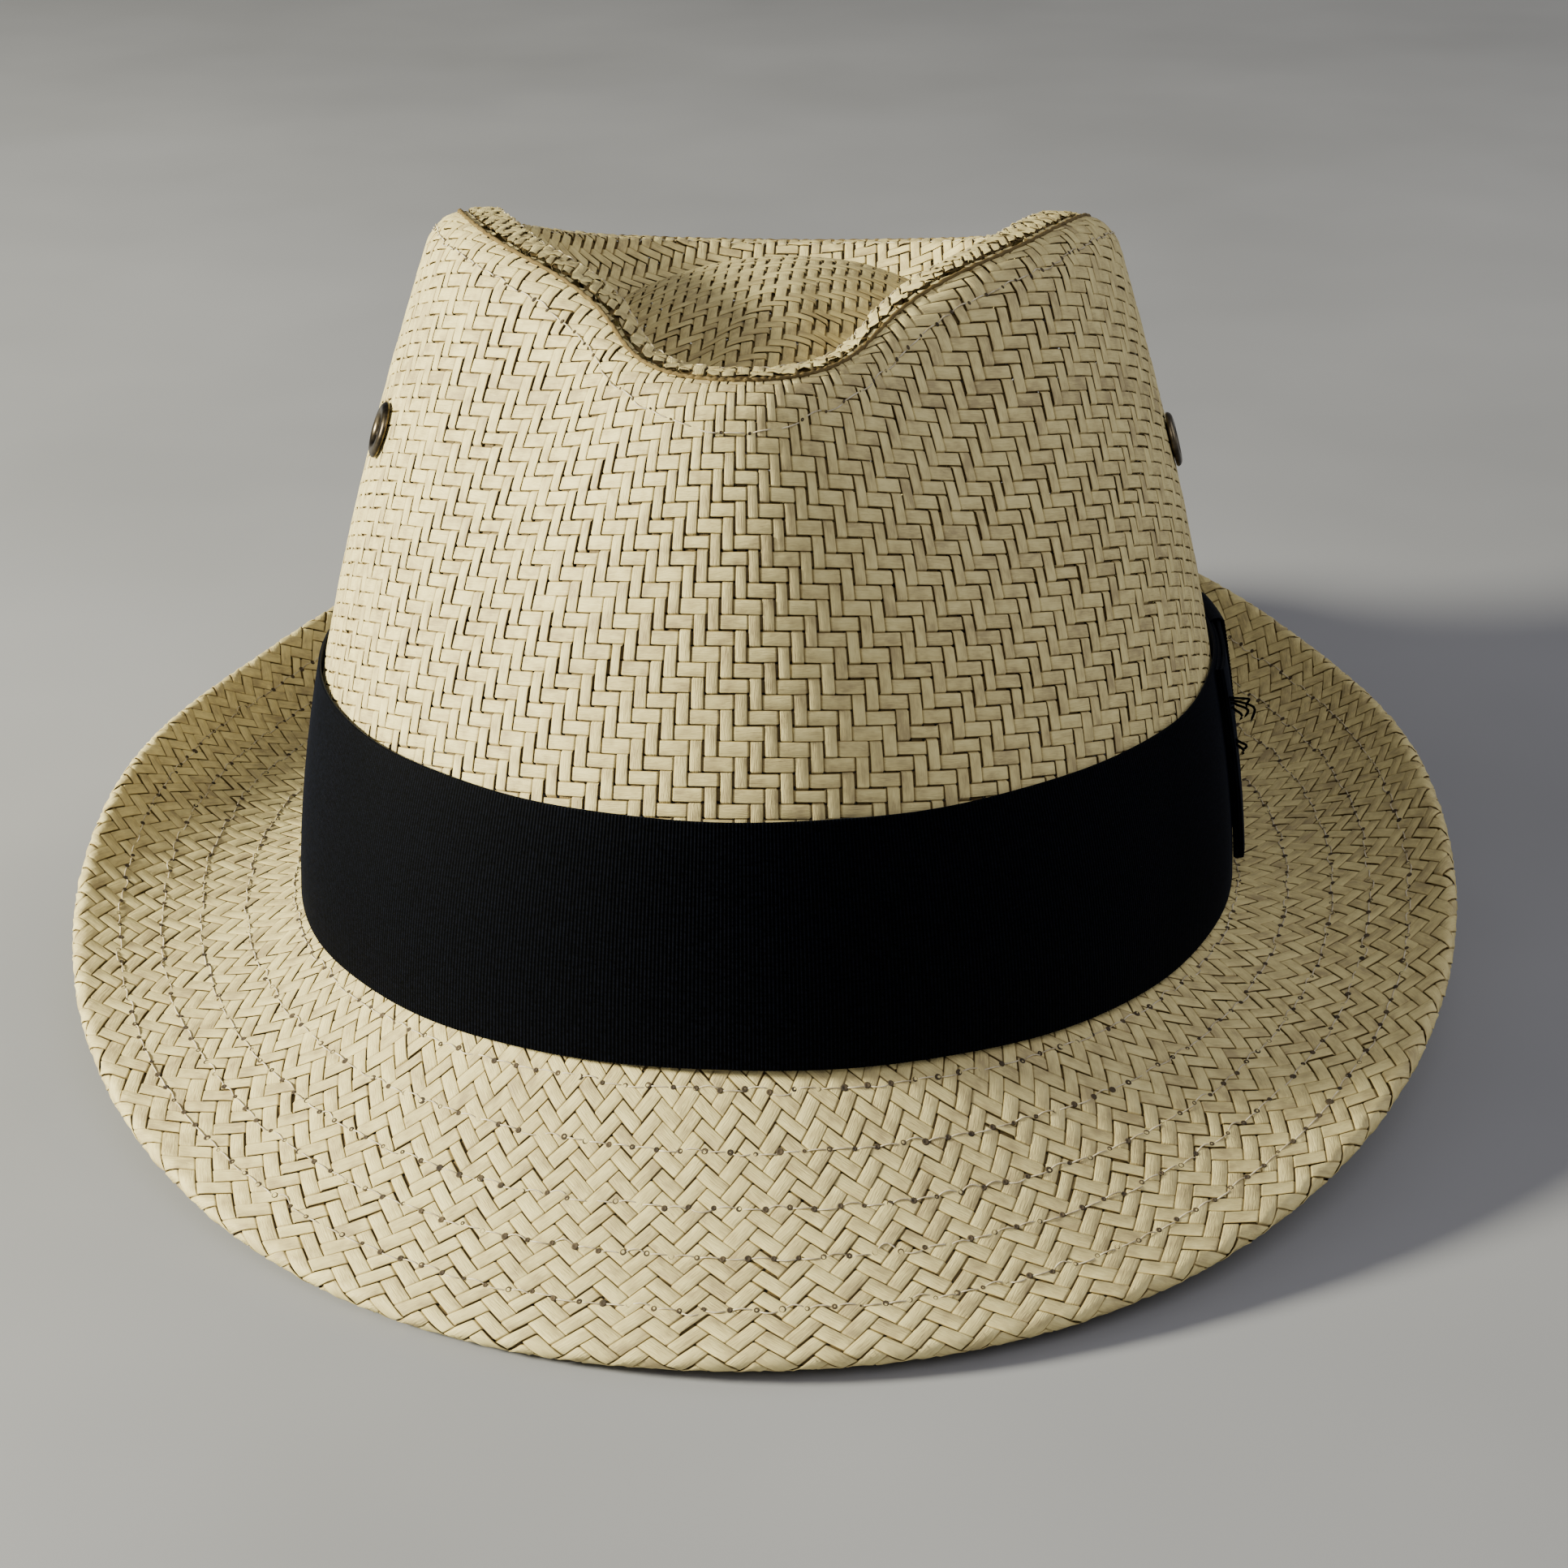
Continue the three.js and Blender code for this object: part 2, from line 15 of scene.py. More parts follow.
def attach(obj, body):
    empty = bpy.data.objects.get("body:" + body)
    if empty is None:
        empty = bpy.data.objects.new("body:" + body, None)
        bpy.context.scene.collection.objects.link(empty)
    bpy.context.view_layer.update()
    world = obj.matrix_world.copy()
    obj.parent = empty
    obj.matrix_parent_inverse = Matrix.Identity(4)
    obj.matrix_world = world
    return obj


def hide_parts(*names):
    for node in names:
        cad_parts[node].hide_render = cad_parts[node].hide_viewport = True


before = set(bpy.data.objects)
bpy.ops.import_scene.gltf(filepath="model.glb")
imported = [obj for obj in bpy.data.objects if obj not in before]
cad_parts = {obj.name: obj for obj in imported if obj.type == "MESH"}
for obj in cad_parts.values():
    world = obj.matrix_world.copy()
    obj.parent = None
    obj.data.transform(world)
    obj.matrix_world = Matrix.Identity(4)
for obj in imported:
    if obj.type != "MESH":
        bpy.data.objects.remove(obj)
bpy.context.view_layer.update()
rng = np.random.default_rng(20)
DEG = math.pi / 180
TAU = 2 * math.pi

# ---- shape of the hat, as in the CAD part ---------------------------------------------------
HEAD = (84, 106)
HEAD_SQUARENESS = 0.012
RIM = (52.5, 87)
RIM_TAPER = 0.36
RIM_SHIFT = -0.7
RIM_ROLL = 5.5
RIM_HEIGHT = (104, 105.5, 114.5, 115.5, 107, 100, 97.5)
CROWN_FLARE = 1.66
CROWN_MEAN_HEIGHT = 110
PINCH_DEPTH = 6
PINCH_ANGLE = 43 * DEG
PINCH_SPREAD = 16 * DEG
PINCH_START = 0.15
BRIM_WIDTH = 43.8
BRIM_WIDTH_SWING = 4.5
BRIM_SLOPE = (-34, -31, -8, 19, 25, 44, 56)
BRIM_CURL = (12, 18, 32, 47, 55, 61, 62)
BRIM_SKEW = 3.5
BRIM_DEPTH = 2.8
STITCH_ROWS = (0.055, 0.27, 0.47, 0.637, 0.815)
TIP_CENTRE = (4, 8)
TIP_FLOOR = 91
TIP_MOUND = 105
TIP_CHANNEL = 0.24
TIP_FULLNESS = 0.6
STRAW = 0.9
FIT = 0.4
RIBBON = 0.5
EYELETS = {"eyelet_right": (-75 * DEG, 0.705), "eyelet_left": (91 * DEG, 0.655)}
BOW_CENTRE = 100 * DEG
BOW_FRONT = 79 * DEG
BOW_REAR = 121 * DEG
KNOT_HALF = 5.2 * DEG
BOW_SPAN = (5, 39.5)
# how the finished hat rests
LEAN = 6.4174 * DEG
LIFT = 14.5017
MIDDLE = (-0.4898, -5.4135)


def place(points):
    """Points of the hat's own frame in millimetres, to the row frame in metres."""
    x, y, z = np.moveaxis(np.asarray(points, float), -1, 0)
    leaned = (
        x - MIDDLE[0],
        y * math.cos(LEAN) + z * math.sin(LEAN) - MIDDLE[1],
        z * math.cos(LEAN) - y * math.sin(LEAN) + LIFT,
    )
    return np.stack(leaned, -1) / 1000


def round_the_head(stations, angle):
    """Values given every 30 degrees from front to back, blended and mirrored."""
    values = np.asarray(stations, float)
    last = len(values) - 1
    turn = np.abs(np.arctan2(np.sin(angle), np.cos(angle))) / (30 * DEG)
    i = np.minimum(turn.astype(int), last - 1)
    u = turn - i
    a, b, c, d = (
        values[np.where(np.abs(k) > last, 2 * last - np.abs(k), np.abs(k))]
        for k in (i - 1, i, i + 1, i + 2)
    )
    cubic = 2 * a - 5 * b + 4 * c - d + u * (3 * (b - c) + d - a)
    return b + 0.5 * u * (c - a + u * cubic)


def smoothstep(x, low, high):
    t = np.clip((x - low) / (high - low), 0, 1)
    return t * t * (3 - 2 * t)


def unit(v):
    return v / np.maximum(np.linalg.norm(v, axis=-1, keepdims=True), 1e-9)


def head_oval(angle):
    k = HEAD_SQUARENESS
    x = HEAD[0] * (np.sin(angle) + k * np.sin(3 * angle)) / (1 - k)
    y = -HEAD[1] * (np.cos(angle) - k * np.cos(3 * angle)) / (1 - k)
    return np.stack([x, y], -1)


def head_normal(angle):
    k = HEAD_SQUARENESS
    x = HEAD[1] * (np.sin(angle) - 3 * k * np.sin(3 * angle))
    y = -HEAD[0] * (np.cos(angle) + 3 * k * np.cos(3 * angle))
    return unit(np.stack([x, y], -1))


def outward(angle):
    return np.stack([np.sin(angle), -np.cos(angle)], -1)


def crown_wall(angle, height):
    angle, height = np.broadcast_arrays(angle, height)
    out = outward(angle)
    rim_x = RIM[0] * np.sin(angle) * (1 - RIM_TAPER * np.cos(angle))
    rim_y = -RIM[1] * np.cos(angle) + RIM_SHIFT
    rim = np.stack([rim_x, rim_y], -1) + out * RIM_ROLL
    lean = np.maximum(height, 0)[..., None] ** CROWN_FLARE
    away = np.abs(np.arctan2(np.sin(angle), np.cos(angle)))
    beside = (away - PINCH_ANGLE) / PINCH_SPREAD
    risen = np.maximum(0, (height - PINCH_START) / (1 - PINCH_START))
    dent = PINCH_DEPTH * np.exp(-beside * beside) * risen**1.5
    shoulder = RIM_ROLL / CROWN_MEAN_HEIGHT
    over = np.clip((height - 1 + shoulder) / shoulder, 0, 1)
    rolled = RIM_ROLL * (1 - np.sqrt(1 - over * over))
    plan = head_oval(angle) * (1 - lean) + rim * lean - out * (dent + rolled)[..., None]
    z = height * round_the_head(RIM_HEIGHT, angle)
    return np.concatenate([plan, z[..., None]], -1)


def crown_normal(angle, height):
    step = 1e-3
    h = np.minimum(height, 1 - 2 * step)
    across = crown_wall(angle + step, h) - crown_wall(angle - step, h)
    up = crown_wall(angle, h + step) - crown_wall(angle, h - step)
    return unit(np.cross(across, up))


def on_crown(angle, height, lift):
    """A point above the outer face of the crown wall."""
    return crown_wall(angle, height) + crown_normal(angle, height) * np.asarray(lift)[..., None]


def at_level(angle, level, lift):
    """The same, for a height in millimetres above the break line."""
    return on_crown(angle, level / round_the_head(RIM_HEIGHT, angle), lift)


def brim_width(angle):
    return BRIM_WIDTH + BRIM_WIDTH_SWING * np.cos(2 * angle)


def brim_profile(angle, share):
    """Foot, outward direction, run, rise and slope of the brim's upper face."""
    mean = (round_the_head(BRIM_SLOPE, angle) + BRIM_SKEW * np.sin(angle)) * DEG
    curl = round_the_head(BRIM_CURL, angle) * DEG
    start = mean - curl / 2
    slope = start + curl * share
    run = brim_width(angle) * (np.sin(slope) - np.sin(start)) / curl
    rise = brim_width(angle) * (np.cos(start) - np.cos(slope)) / curl
    return head_oval(angle), head_normal(angle), run, rise, slope


def on_brim(angle, share, lift):
    angle, share = np.broadcast_arrays(angle, share)
    foot, out, run, rise, slope = brim_profile(angle, share)
    plan = foot + out * (run - lift * np.sin(slope))[..., None]
    return np.concatenate([plan, (rise + lift * np.cos(slope))[..., None]], -1)


# ---- the dished top: a crushed welt inside the seam, a steep wall, a channel and a mound ------
WELT = 5.4
WELT_RISE = -0.1


def tip_edge(angle):
    seam = crown_wall(angle, np.ones_like(angle))
    return seam[..., :2] - outward(angle) * FIT, seam[..., 2]


def tip_point(angle, share):
    edge, seam_z = tip_edge(angle)
    centre = np.array(TIP_CENTRE, float)
    span = np.linalg.norm(edge - centre, axis=-1)
    welt = WELT / span
    inside = np.clip((share - welt) / (1 - welt), 0, 1)
    fall = 1 - (1 - np.clip(inside / TIP_CHANNEL, 0, 1)) ** 2.2
    inward = np.maximum(0, inside - TIP_CHANNEL) / (1 - TIP_CHANNEL)
    swell = smoothstep(inward**TIP_FULLNESS, 0, 1)
    brow = WELT_RISE * np.clip(share / welt, 0, 1) * (1 - fall)
    z = seam_z + brow + (TIP_FLOOR - seam_z) * fall + (TIP_MOUND - TIP_FLOOR) * swell
    plan = edge + (centre - edge) * share[..., None]
    return np.concatenate([plan, z[..., None]], -1)


def on_tip(angle, share, lift):
    step = 2e-3
    across = tip_point(angle + step, share) - tip_point(angle - step, share)
    inward = tip_point(angle, share + step) - tip_point(angle, np.maximum(share - step, 0))
    return tip_point(angle, share) + unit(np.cross(across, inward)) * lift[..., None]


# ---- reading tables -------------------------------------------------------------------------
def blended(table, u, v):
    """Bilinear reading of a table whose two sides run from 0 to 1."""
    rows, columns = table.shape
    x = np.clip(u, 0, 1) * (rows - 1)
    y = np.clip(v, 0, 1) * (columns - 1)
    i = np.minimum(x.astype(int), rows - 2)
    j = np.minimum(y.astype(int), columns - 2)
    x, y = x - i, y - j
    low = table[i, j] * (1 - y) + table[i, j + 1] * y
    high = table[i + 1, j] * (1 - y) + table[i + 1, j + 1] * y
    return low * (1 - x) + high * x


def lengths(points, axis=0):
    """Running length along a line of points."""
    steps = np.linalg.norm(np.diff(points, axis=axis), axis=-1)
    run = np.cumsum(steps, axis=axis)
    return np.concatenate([np.zeros_like(np.take(run, [0], axis)), run], axis)


ROUND = np.linspace(-math.pi, math.pi, 721)
HEAD_RUN = lengths(head_oval(ROUND))
HEAD_RUN -= HEAD_RUN[-1] / 2
HEAD_LENGTH = HEAD_RUN[-1] * 2
SPARSE = ROUND[::4]  # angles enough for the tables of lengths

# ---- weaving --------------------------------------------------------------------------------
PITCH = 2.37  # from one strip to the next
SWING = 0.27  # how far a strip rises over and dips under its neighbours
COARSE = np.array([0, 0.12, 0.88])  # where each crossing is cut into faces, along a strip
FINE = np.array([0, 0.12, 0.5, 0.88])
EDGE = np.array([-1, -0.86, 0.86, 1])
EDGE_DROP = np.array([0.14, 0, 0, 0.14])
EDGE_SLOPE = np.array([-1, -0.2, 0.2, 1])
CRISPNESS = 9
# painted shade: colour factor across a strip, darker at its outer edges where the gaps between
# strips fall
EDGE_SHADE = np.array([0.36, 1, 1, 0.36])
DIVE = 0.7  # slope of a strip where it goes under
# how unevenly the strips lie: heights in millimetres, the rest as shares of the pitch or width
LIFT_SPREAD = 0.025
TILT_SPREAD = 0.04
WIDTH_SPREAD = 0.03
WIDTH_RIPPLE = 0.02
DRIFT_RIPPLE = 0.035
PINCHED = 0.16  # how much narrower a pinched float is
PINCHED_OFTEN = 0.04  # the share of floats that are pinched
APART = 7.3  # keeps one strip's grain away from the next one's


def crimp(phase):
    """Height of an over-two under-two strip: +1 along a float, -1 beneath one."""
    return np.tanh(CRISPNESS * np.cos(phase * math.pi / 2)) / np.tanh(CRISPNESS)


def ripple(along, strip, size):
    """A smooth seeded waver along each strip."""
    seeds = rng.uniform(0, TAU, (3, len(size)))[:, strip]
    waves = [np.sin(along * f + s) for f, s in zip((0.23, 0.61, 1.37), seeds, strict=True)]
    return size[strip] * sum(waves) / 3


class Cloth:
    """Strips of one direction, laid where `locate` says and lifted by `surface`."""

    def __init__(self, locate, surface, turn, offset, swap, width, swing=SWING, cuts=COARSE):
        self.locate, self.surface = locate, surface
        self.turn, self.offset, self.swap = turn, offset, swap
        self.width, self.swing, self.cuts = width, swing, cuts

    def cut(self, sample):
        """Position in crossings of a numbered cut across a strip."""
        return sample // len(self.cuts) + self.cuts[sample % len(self.cuts)]

    def spot(self, across, along):
        return self.locate(*((along, across) if self.swap else (across, along)))

    def weave(self, strips, spans, skip=None):
        """Vertices, faces and attributes of all the strips."""
        runs = []
        for strip, (low, high) in zip(strips, spans, strict=True):
            step = 1 / len(self.cuts)
            sample = np.arange(math.floor(low), math.ceil(high) + step, step)
            sample = np.round(sample * len(self.cuts)).astype(int)
            angle, height, inside = self.spot(np.full(len(sample), strip + 0.5), self.cut(sample))
            if skip is not None:
                inside &= ~skip(angle, height)
            edges = np.flatnonzero(np.diff(np.concatenate([[0], inside, [0]])))
            for first, past in edges.reshape(-1, 2):
                if past - first >= 2:
                    runs.append((strip, sample[first] - 1, sample[past - 1] + 1))
        number = np.concatenate([np.full(b - a + 1, n) for n, (_, a, b) in enumerate(runs)])
        strip = np.concatenate([np.full(b - a + 1, s) for s, a, b in runs])
        along = self.cut(np.concatenate([np.arange(a, b + 1) for _, a, b in runs]))
        return self.ribbons(runs, number, strip, along)

    def ribbons(self, runs, number, strip, along):
        own = strip - strip.min()
        count = own.max() + 1
        phase = along - self.turn * strip - self.offset
        high = crimp(phase)
        floats = np.floor((phase + 1) / 2).astype(int)
        floats -= floats.min()
        lift = rng.normal(0, LIFT_SPREAD, (count, floats.max() + 1))[own, floats]
        tilt = rng.normal(0, TILT_SPREAD, (count, floats.max() + 1))[own, floats]
        shade = rng.normal(0, 1, (count, floats.max() + 1))[own, floats]
        slack = rng.normal(0, WIDTH_SPREAD, (count, floats.max() + 1))
        slack -= PINCHED * (rng.random(slack.shape) < PINCHED_OFTEN)
        wide = self.width * (1 + rng.normal(0, WIDTH_SPREAD, count))[own] * (1 + slack[own, floats])
        wide = wide + ripple(along, own, np.full(count, WIDTH_RIPPLE))
        drift = ripple(along + 40, own, np.full(count, DRIFT_RIPPLE))
        across = strip[:, None] + 0.5 + drift[:, None] + EDGE * wide[:, None] / 2
        rise = self.swing * high[:, None] + (lift * np.abs(high))[:, None]
        rise = rise - EDGE_DROP + (tilt * high)[:, None] * EDGE
        run = np.broadcast_to(along[:, None], across.shape)
        a, b, _ = self.spot(across, run)
        points = self.surface(a, b, rise)
        above = unit(self.surface(a, b, rise + 0.05) - points)
        side = unit(points[:, -1:] - points[:, :1])
        ahead = np.cross(above, side)
        ahead *= np.sign(np.median((ahead[:-1, 1] * np.diff(points[:, 1], axis=0)).sum(-1)))
        dive = -DIVE * np.sin(phase * math.pi / 2) * (np.abs(high) < 0.5)
        normal = unit(above - dive[:, None, None] * ahead + EDGE_SLOPE[:, None] * side)
        tint = rng.normal(0, 1, count)[own] * 0.6 + shade * 0.4
        fine = np.stack(
            np.broadcast_arrays(EDGE * PITCH / 2, run * PITCH, APART * number[:, None]), -1
        )
        rows = len(strip)
        first = np.flatnonzero(np.diff(number, append=number[-1] + 1) == 0)
        ids = np.arange(rows * 4).reshape(rows, 4)
        quads = np.stack(
            [ids[first, :-1], ids[first + 1, :-1], ids[first + 1, 1:], ids[first, 1:]], -1
        ).reshape(-1, 4)
        corner = points.reshape(-1, 3)[quads]
        facing = np.cross(corner[:, 2] - corner[:, 0], corner[:, 3] - corner[:, 1])
        if np.median((facing * above.reshape(-1, 3)[quads[:, 0]]).sum(-1)) < 0:
            quads = quads[:, ::-1]
        # painted shade: a strip is darker where it dips under a crossing strip and at its edges,
        # standing in for the shade in the gaps
        painted_shade = (0.6 + 0.4 * high)[:, None] * EDGE_SHADE
        tone_and_painted_shade = np.repeat(tint[:, None], 4, 1).ravel(), painted_shade.ravel()
        return points.reshape(-1, 3), quads, normal.reshape(-1, 3), tone_and_painted_shade, fine.reshape(-1, 3)


def atlas(faces):
    """Map corners of the strips' faces, row upon row, for baked colours."""
    count = faces // 3
    side = max(1, math.ceil(math.sqrt(count / 3)))
    column = np.arange(count) % side
    row = np.arange(count) // side
    high = row.max() + 1
    left, right = column / side, (column + 1) / side
    corners = []
    for k in range(3):
        low = (row + 0.12 + 0.76 * k / 3) / high
        top = (row + 0.12 + 0.76 * (k + 1) / 3) / high
        corners.append(np.stack([left, low, right, low, right, top, left, top], -1))
    return np.stack(corners, 1).reshape(-1, 2)


# ---- objects and materials ------------------------------------------------------------------
def mesh_object(name, points, quads, material):
    mesh = bpy.data.meshes.new(name)
    quads = np.asarray(quads, np.int32)
    sides = quads.shape[1]
    mesh.vertices.add(len(points))
    mesh.vertices.foreach_set("co", place(points).astype(np.float32).ravel())
    mesh.loops.add(quads.size)
    mesh.loops.foreach_set("vertex_index", quads.ravel())
    mesh.polygons.add(len(quads))
    mesh.polygons.foreach_set("loop_start", np.arange(0, quads.size, sides, dtype=np.int32))
    mesh.update(calc_edges=True)
    mesh.validate()
    mesh.shade_smooth()
    mesh.materials.append(material)
    made = bpy.data.objects.new(name, mesh)
    bpy.context.scene.collection.objects.link(made)
    return made


def joined(parts):
    """Several (points, faces) as one."""
    start, points, quads = 0, [], []
    for more_points, more_quads in parts:
        points.append(np.asarray(more_points, float).reshape(-1, 3))
        quads.append(np.asarray(more_quads) + start)
        start += len(points[-1])
    return np.concatenate(points), np.concatenate(quads)


def grid(points, closed_rows=False, closed_columns=False):
    """Faces of a grid of points, rows by columns."""
    rows, columns = points.shape[:2]
    ids = np.arange(rows * columns).reshape(rows, columns)
    if closed_rows:
        ids = np.concatenate([ids, ids[:1]])
    if closed_columns:
        ids = np.concatenate([ids, ids[:, :1]], 1)
    quads = np.stack([ids[:-1, :-1], ids[:-1, 1:], ids[1:, 1:], ids[1:, :-1]], -1)
    return points.reshape(-1, 3), quads.reshape(-1, 4)


class Look:
    """A node material."""

    def __init__(self, name, **settings):
        self.material = bpy.data.materials.new(name)
        self.material.use_nodes = True
        self.nodes = self.material.node_tree.nodes
        self.links = self.material.node_tree.links
        self.shader = self.nodes["Principled BSDF"]
        for key, value in settings.items():
            self.shader.inputs[key.replace("_", " ")].default_value = value

    def node(self, kind, inputs=(), **settings):
        made = self.nodes.new("ShaderNode" + kind)
        for key, value in settings.items():
            setattr(made, key, value)
        for key, value in dict(inputs).items():
            if isinstance(value, bpy.types.NodeSocket):
                self.links.new(value, made.inputs[key])
            else:
                made.inputs[key].default_value = value
        return made

    def noise(self, vector, stretch, detail=3.0):
        scaled = self.node("VectorMath", {0: vector, 1: stretch}, operation="MULTIPLY")
        return self.node(
            "TexNoise", {"Vector": scaled.outputs[0], "Scale": 1.0, "Detail": detail}
        ).outputs["Fac"]

    def ramp(self, factor, *stops):
        made = self.node("ValToRGB", {"Fac": factor})
        elements = made.color_ramp.elements
        while len(elements) < len(stops):
            elements.new(0.5)
        for element, (position, colour) in zip(elements, stops, strict=True):
            element.position = position
            element.color = (*colour, 1)
        return made.outputs["Color"]

    def feed(self, socket, value):
        self.links.new(value, self.shader.inputs[socket])

    def bump(self, height, distance, strength=1.0):
        made = self.node("Bump", {"Height": height, "Distance": distance, "Strength": strength})
        self.feed("Normal", made.outputs["Normal"])


def straw_look():
    look = Look("straw", Roughness=0.62, Specular_IOR_Level=0.25)
    tint = look.node("Attribute", attribute_name="tint").outputs["Fac"]
    strip = look.node("Attribute", attribute_name="strip").outputs["Vector"]
    fibre = look.noise(strip, (5.0, 0.6, 1.0))
    cloud = look.noise(strip, (0.5, 0.35, 1.0), 2.0)
    crease = look.noise(strip, (1.1, 0.16, 1.0), 1.5)
    line = look.node("Math", {0: crease, 1: 0.5, 2: 0.01}, operation="COMPARE").outputs[0]
    mixed = look.node("Math", {0: tint, 1: 0.09, 2: cloud}, operation="MULTIPLY_ADD").outputs[0]
    mixed = look.node("Math", {0: fibre, 1: 0.45, 2: mixed}, operation="MULTIPLY_ADD").outputs[0]
    mixed = look.node("Math", {0: line, 1: 0.12, 2: mixed}, operation="MULTIPLY_ADD").outputs[0]
    colour = look.ramp(
        mixed,
        (0.45, (0.43, 0.345, 0.175)),
        (0.72, (0.65, 0.545, 0.255)),
        (1.0, (0.80, 0.69, 0.33)),
    )
    # painted shade: darkens the straw where strips dip under and at their edges; on back faces it
    # is turned round
    painted_shade = look.node("Attribute", attribute_name="painted_shade").outputs["Fac"]
    from_behind = look.node("Math", {0: 1.15, 1: painted_shade}, operation="SUBTRACT").outputs[0]
    behind = look.node("NewGeometry").outputs["Backfacing"]
    painted_shade = look.node("Mix", {0: behind, 2: painted_shade, 3: from_behind}).outputs[0]
    # colour ramp of the painted shade, multiplied into the straw colour
    shade = look.ramp(painted_shade, (0.1, (0.13, 0.09, 0.05)), (0.5, (0.5, 0.44, 0.34)), (0.85, (1, 1, 1)))
    shaded = look.node("VectorMath", {0: colour, 1: shade}, operation="MULTIPLY").outputs[0]
    look.feed("Base Color", shaded)
    height = look.node("Math", {0: line, 1: -0.8, 2: fibre}, operation="MULTIPLY_ADD").outputs[0]
    look.bump(height, 0.00016, 0.7)
    return look.material


def ribbon_look():
    look = Look(
        "ribbon_black",
        Roughness=0.62,
        Specular_IOR_Level=0.02,
        Sheen_Weight=0.05,
        Sheen_Roughness=0.35,
        Sheen_Tint=(0.6, 0.7, 1, 1),
    )
    place_in = look.node("TexCoord").outputs["Object"]
    picks = look.noise(place_in, (900.0, 900.0, 2600.0), 2.0)
    rib = look.node("Attribute", attribute_name="rib").outputs["Fac"]
    # painted highlight: rib tops lighter and grooves darker, broken up by the weave picks' noise
    painted_rib_highlight = look.node("Math", {0: rib, 1: picks}, operation="MULTIPLY").outputs[0]
    colour = look.ramp(painted_rib_highlight, (0.2, (0.0003, 0.0004, 0.0006)), (0.75, (0.0045, 0.0055, 0.0105)))
    look.feed("Base Color", colour)
    look.bump(picks, 0.00006, 0.6)
    return look.material


def speckled(name, dark, light, scale, **settings):
    look = Look(name, **settings)
    place_in = look.node("TexCoord").outputs["Object"]
    spots = look.noise(place_in, (scale, scale, scale))
    look.feed("Base Color", look.ramp(spots, (0.35, dark), (0.7, light)))
    return look.material


STRAW_LOOK = straw_look()
RIBBON_LOOK = ribbon_look()
THREAD_LOOK = speckled("thread", (0.42, 0.35, 0.22), (0.74, 0.67, 0.50), 700.0, Roughness=0.5)
# painted shade: dark brown for the inside of the needle holes
HOLE_SHADE_LOOK = speckled("painted_hole_shade", (0.03, 0.02, 0.01), (0.10, 0.07, 0.035), 500.0, Roughness=0.9)
LINEN_LOOK = speckled("interlining", (0.10, 0.08, 0.05), (0.16, 0.13, 0.09), 400.0, Roughness=0.95)
TAPE_LOOK = speckled("lining_tape", (0.55, 0.50, 0.40), (0.68, 0.63, 0.53), 600.0, Roughness=0.85)
BAND_LOOK = speckled("sweatband", (0.016, 0.013, 0.012), (0.035, 0.03, 0.027), 900.0, Roughness=0.8)
BRASS_LOOK = speckled(
    "antique_brass", (0.03, 0.024, 0.017), (0.17, 0.135, 0.085), 450.0, Roughness=0.3, Metallic=1.0
)


def finished(made, slot, *nodes):
    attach(made, "root")
    if nodes:
        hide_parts(*nodes)
    return made


def woven(name, cloth, strips, spans, nodes, skip=None):
    points, quads, normal, tint, fine = cloth.weave(strips, spans, skip)
    made = mesh_object(name, points, quads, STRAW_LOOK)
    mesh = made.data
    mesh.normals_split_custom_set_from_vertices(
        ((place(points + normal) - place(points)) * 1000).astype(np.float32)
    )
    # `tint` holds the straw's random tint and its painted shade, stored as two attributes
    for kind, values in zip(("tint", "painted_shade"), tint, strict=True):
        held = mesh.attributes.new(kind, "FLOAT", "POINT")
        held.data.foreach_set("value", values.astype(np.float32))
    line = mesh.attributes.new("strip", "FLOAT_VECTOR", "POINT")
    line.data.foreach_set("vector", fine.astype(np.float32).ravel())
    layer = mesh.uv_layers.new(name="OFBake")
    layer.data.foreach_set("uv", atlas(len(quads)).astype(np.float32).ravel())
    return finished(made, "straw", *nodes)


# ---- crown side: one flat piece wrapped round as a cone, seam at the back ---------------------
CONE = 400  # from the break line to the cone's apex, along the cloth
GROOVE = 0.3  # depth of the seams' crease
SHEET = 0.45  # the woven sheet's middle lies this far under its CAD face
CUT_ROUND = 3.4  # radius of the opening left for an eyelet
DRAWN_IN = 0.25  # how far the topstitch pulls the cloth in

WALL_STEPS = np.linspace(0, 1, 121)
WALL_RUN = lengths(crown_wall(SPARSE[:, None], WALL_STEPS[None, :]), axis=1)
WALL_LENGTH = WALL_RUN[:, -1]
WALL_HEIGHTS = np.stack([np.interp(WALL_STEPS, r / r[-1], WALL_STEPS) for r in WALL_RUN])


def crown_spot(i, j):
    x, y = i * PITCH, j * PITCH
    turn = np.arctan2(x, CONE - y) * CONE
    up = CONE - np.hypot(x, CONE - y)
    angle = np.interp(turn, HEAD_RUN, ROUND)
    length = np.interp(angle, SPARSE, WALL_LENGTH)
    inside = (up > 0.6) & (up < length) & (np.abs(turn) < HEAD_RUN[-1])
    height = blended(WALL_HEIGHTS, (angle + math.pi) / TAU, up / length)
    return angle, np.clip(height, 0.004, 1), inside


def topstitch_height(angle):
    """Share of the crown height at which the thread runs, lowest at the front."""
    return 0.972 - 0.042 * np.exp(-((angle / (20 * DEG)) ** 2))


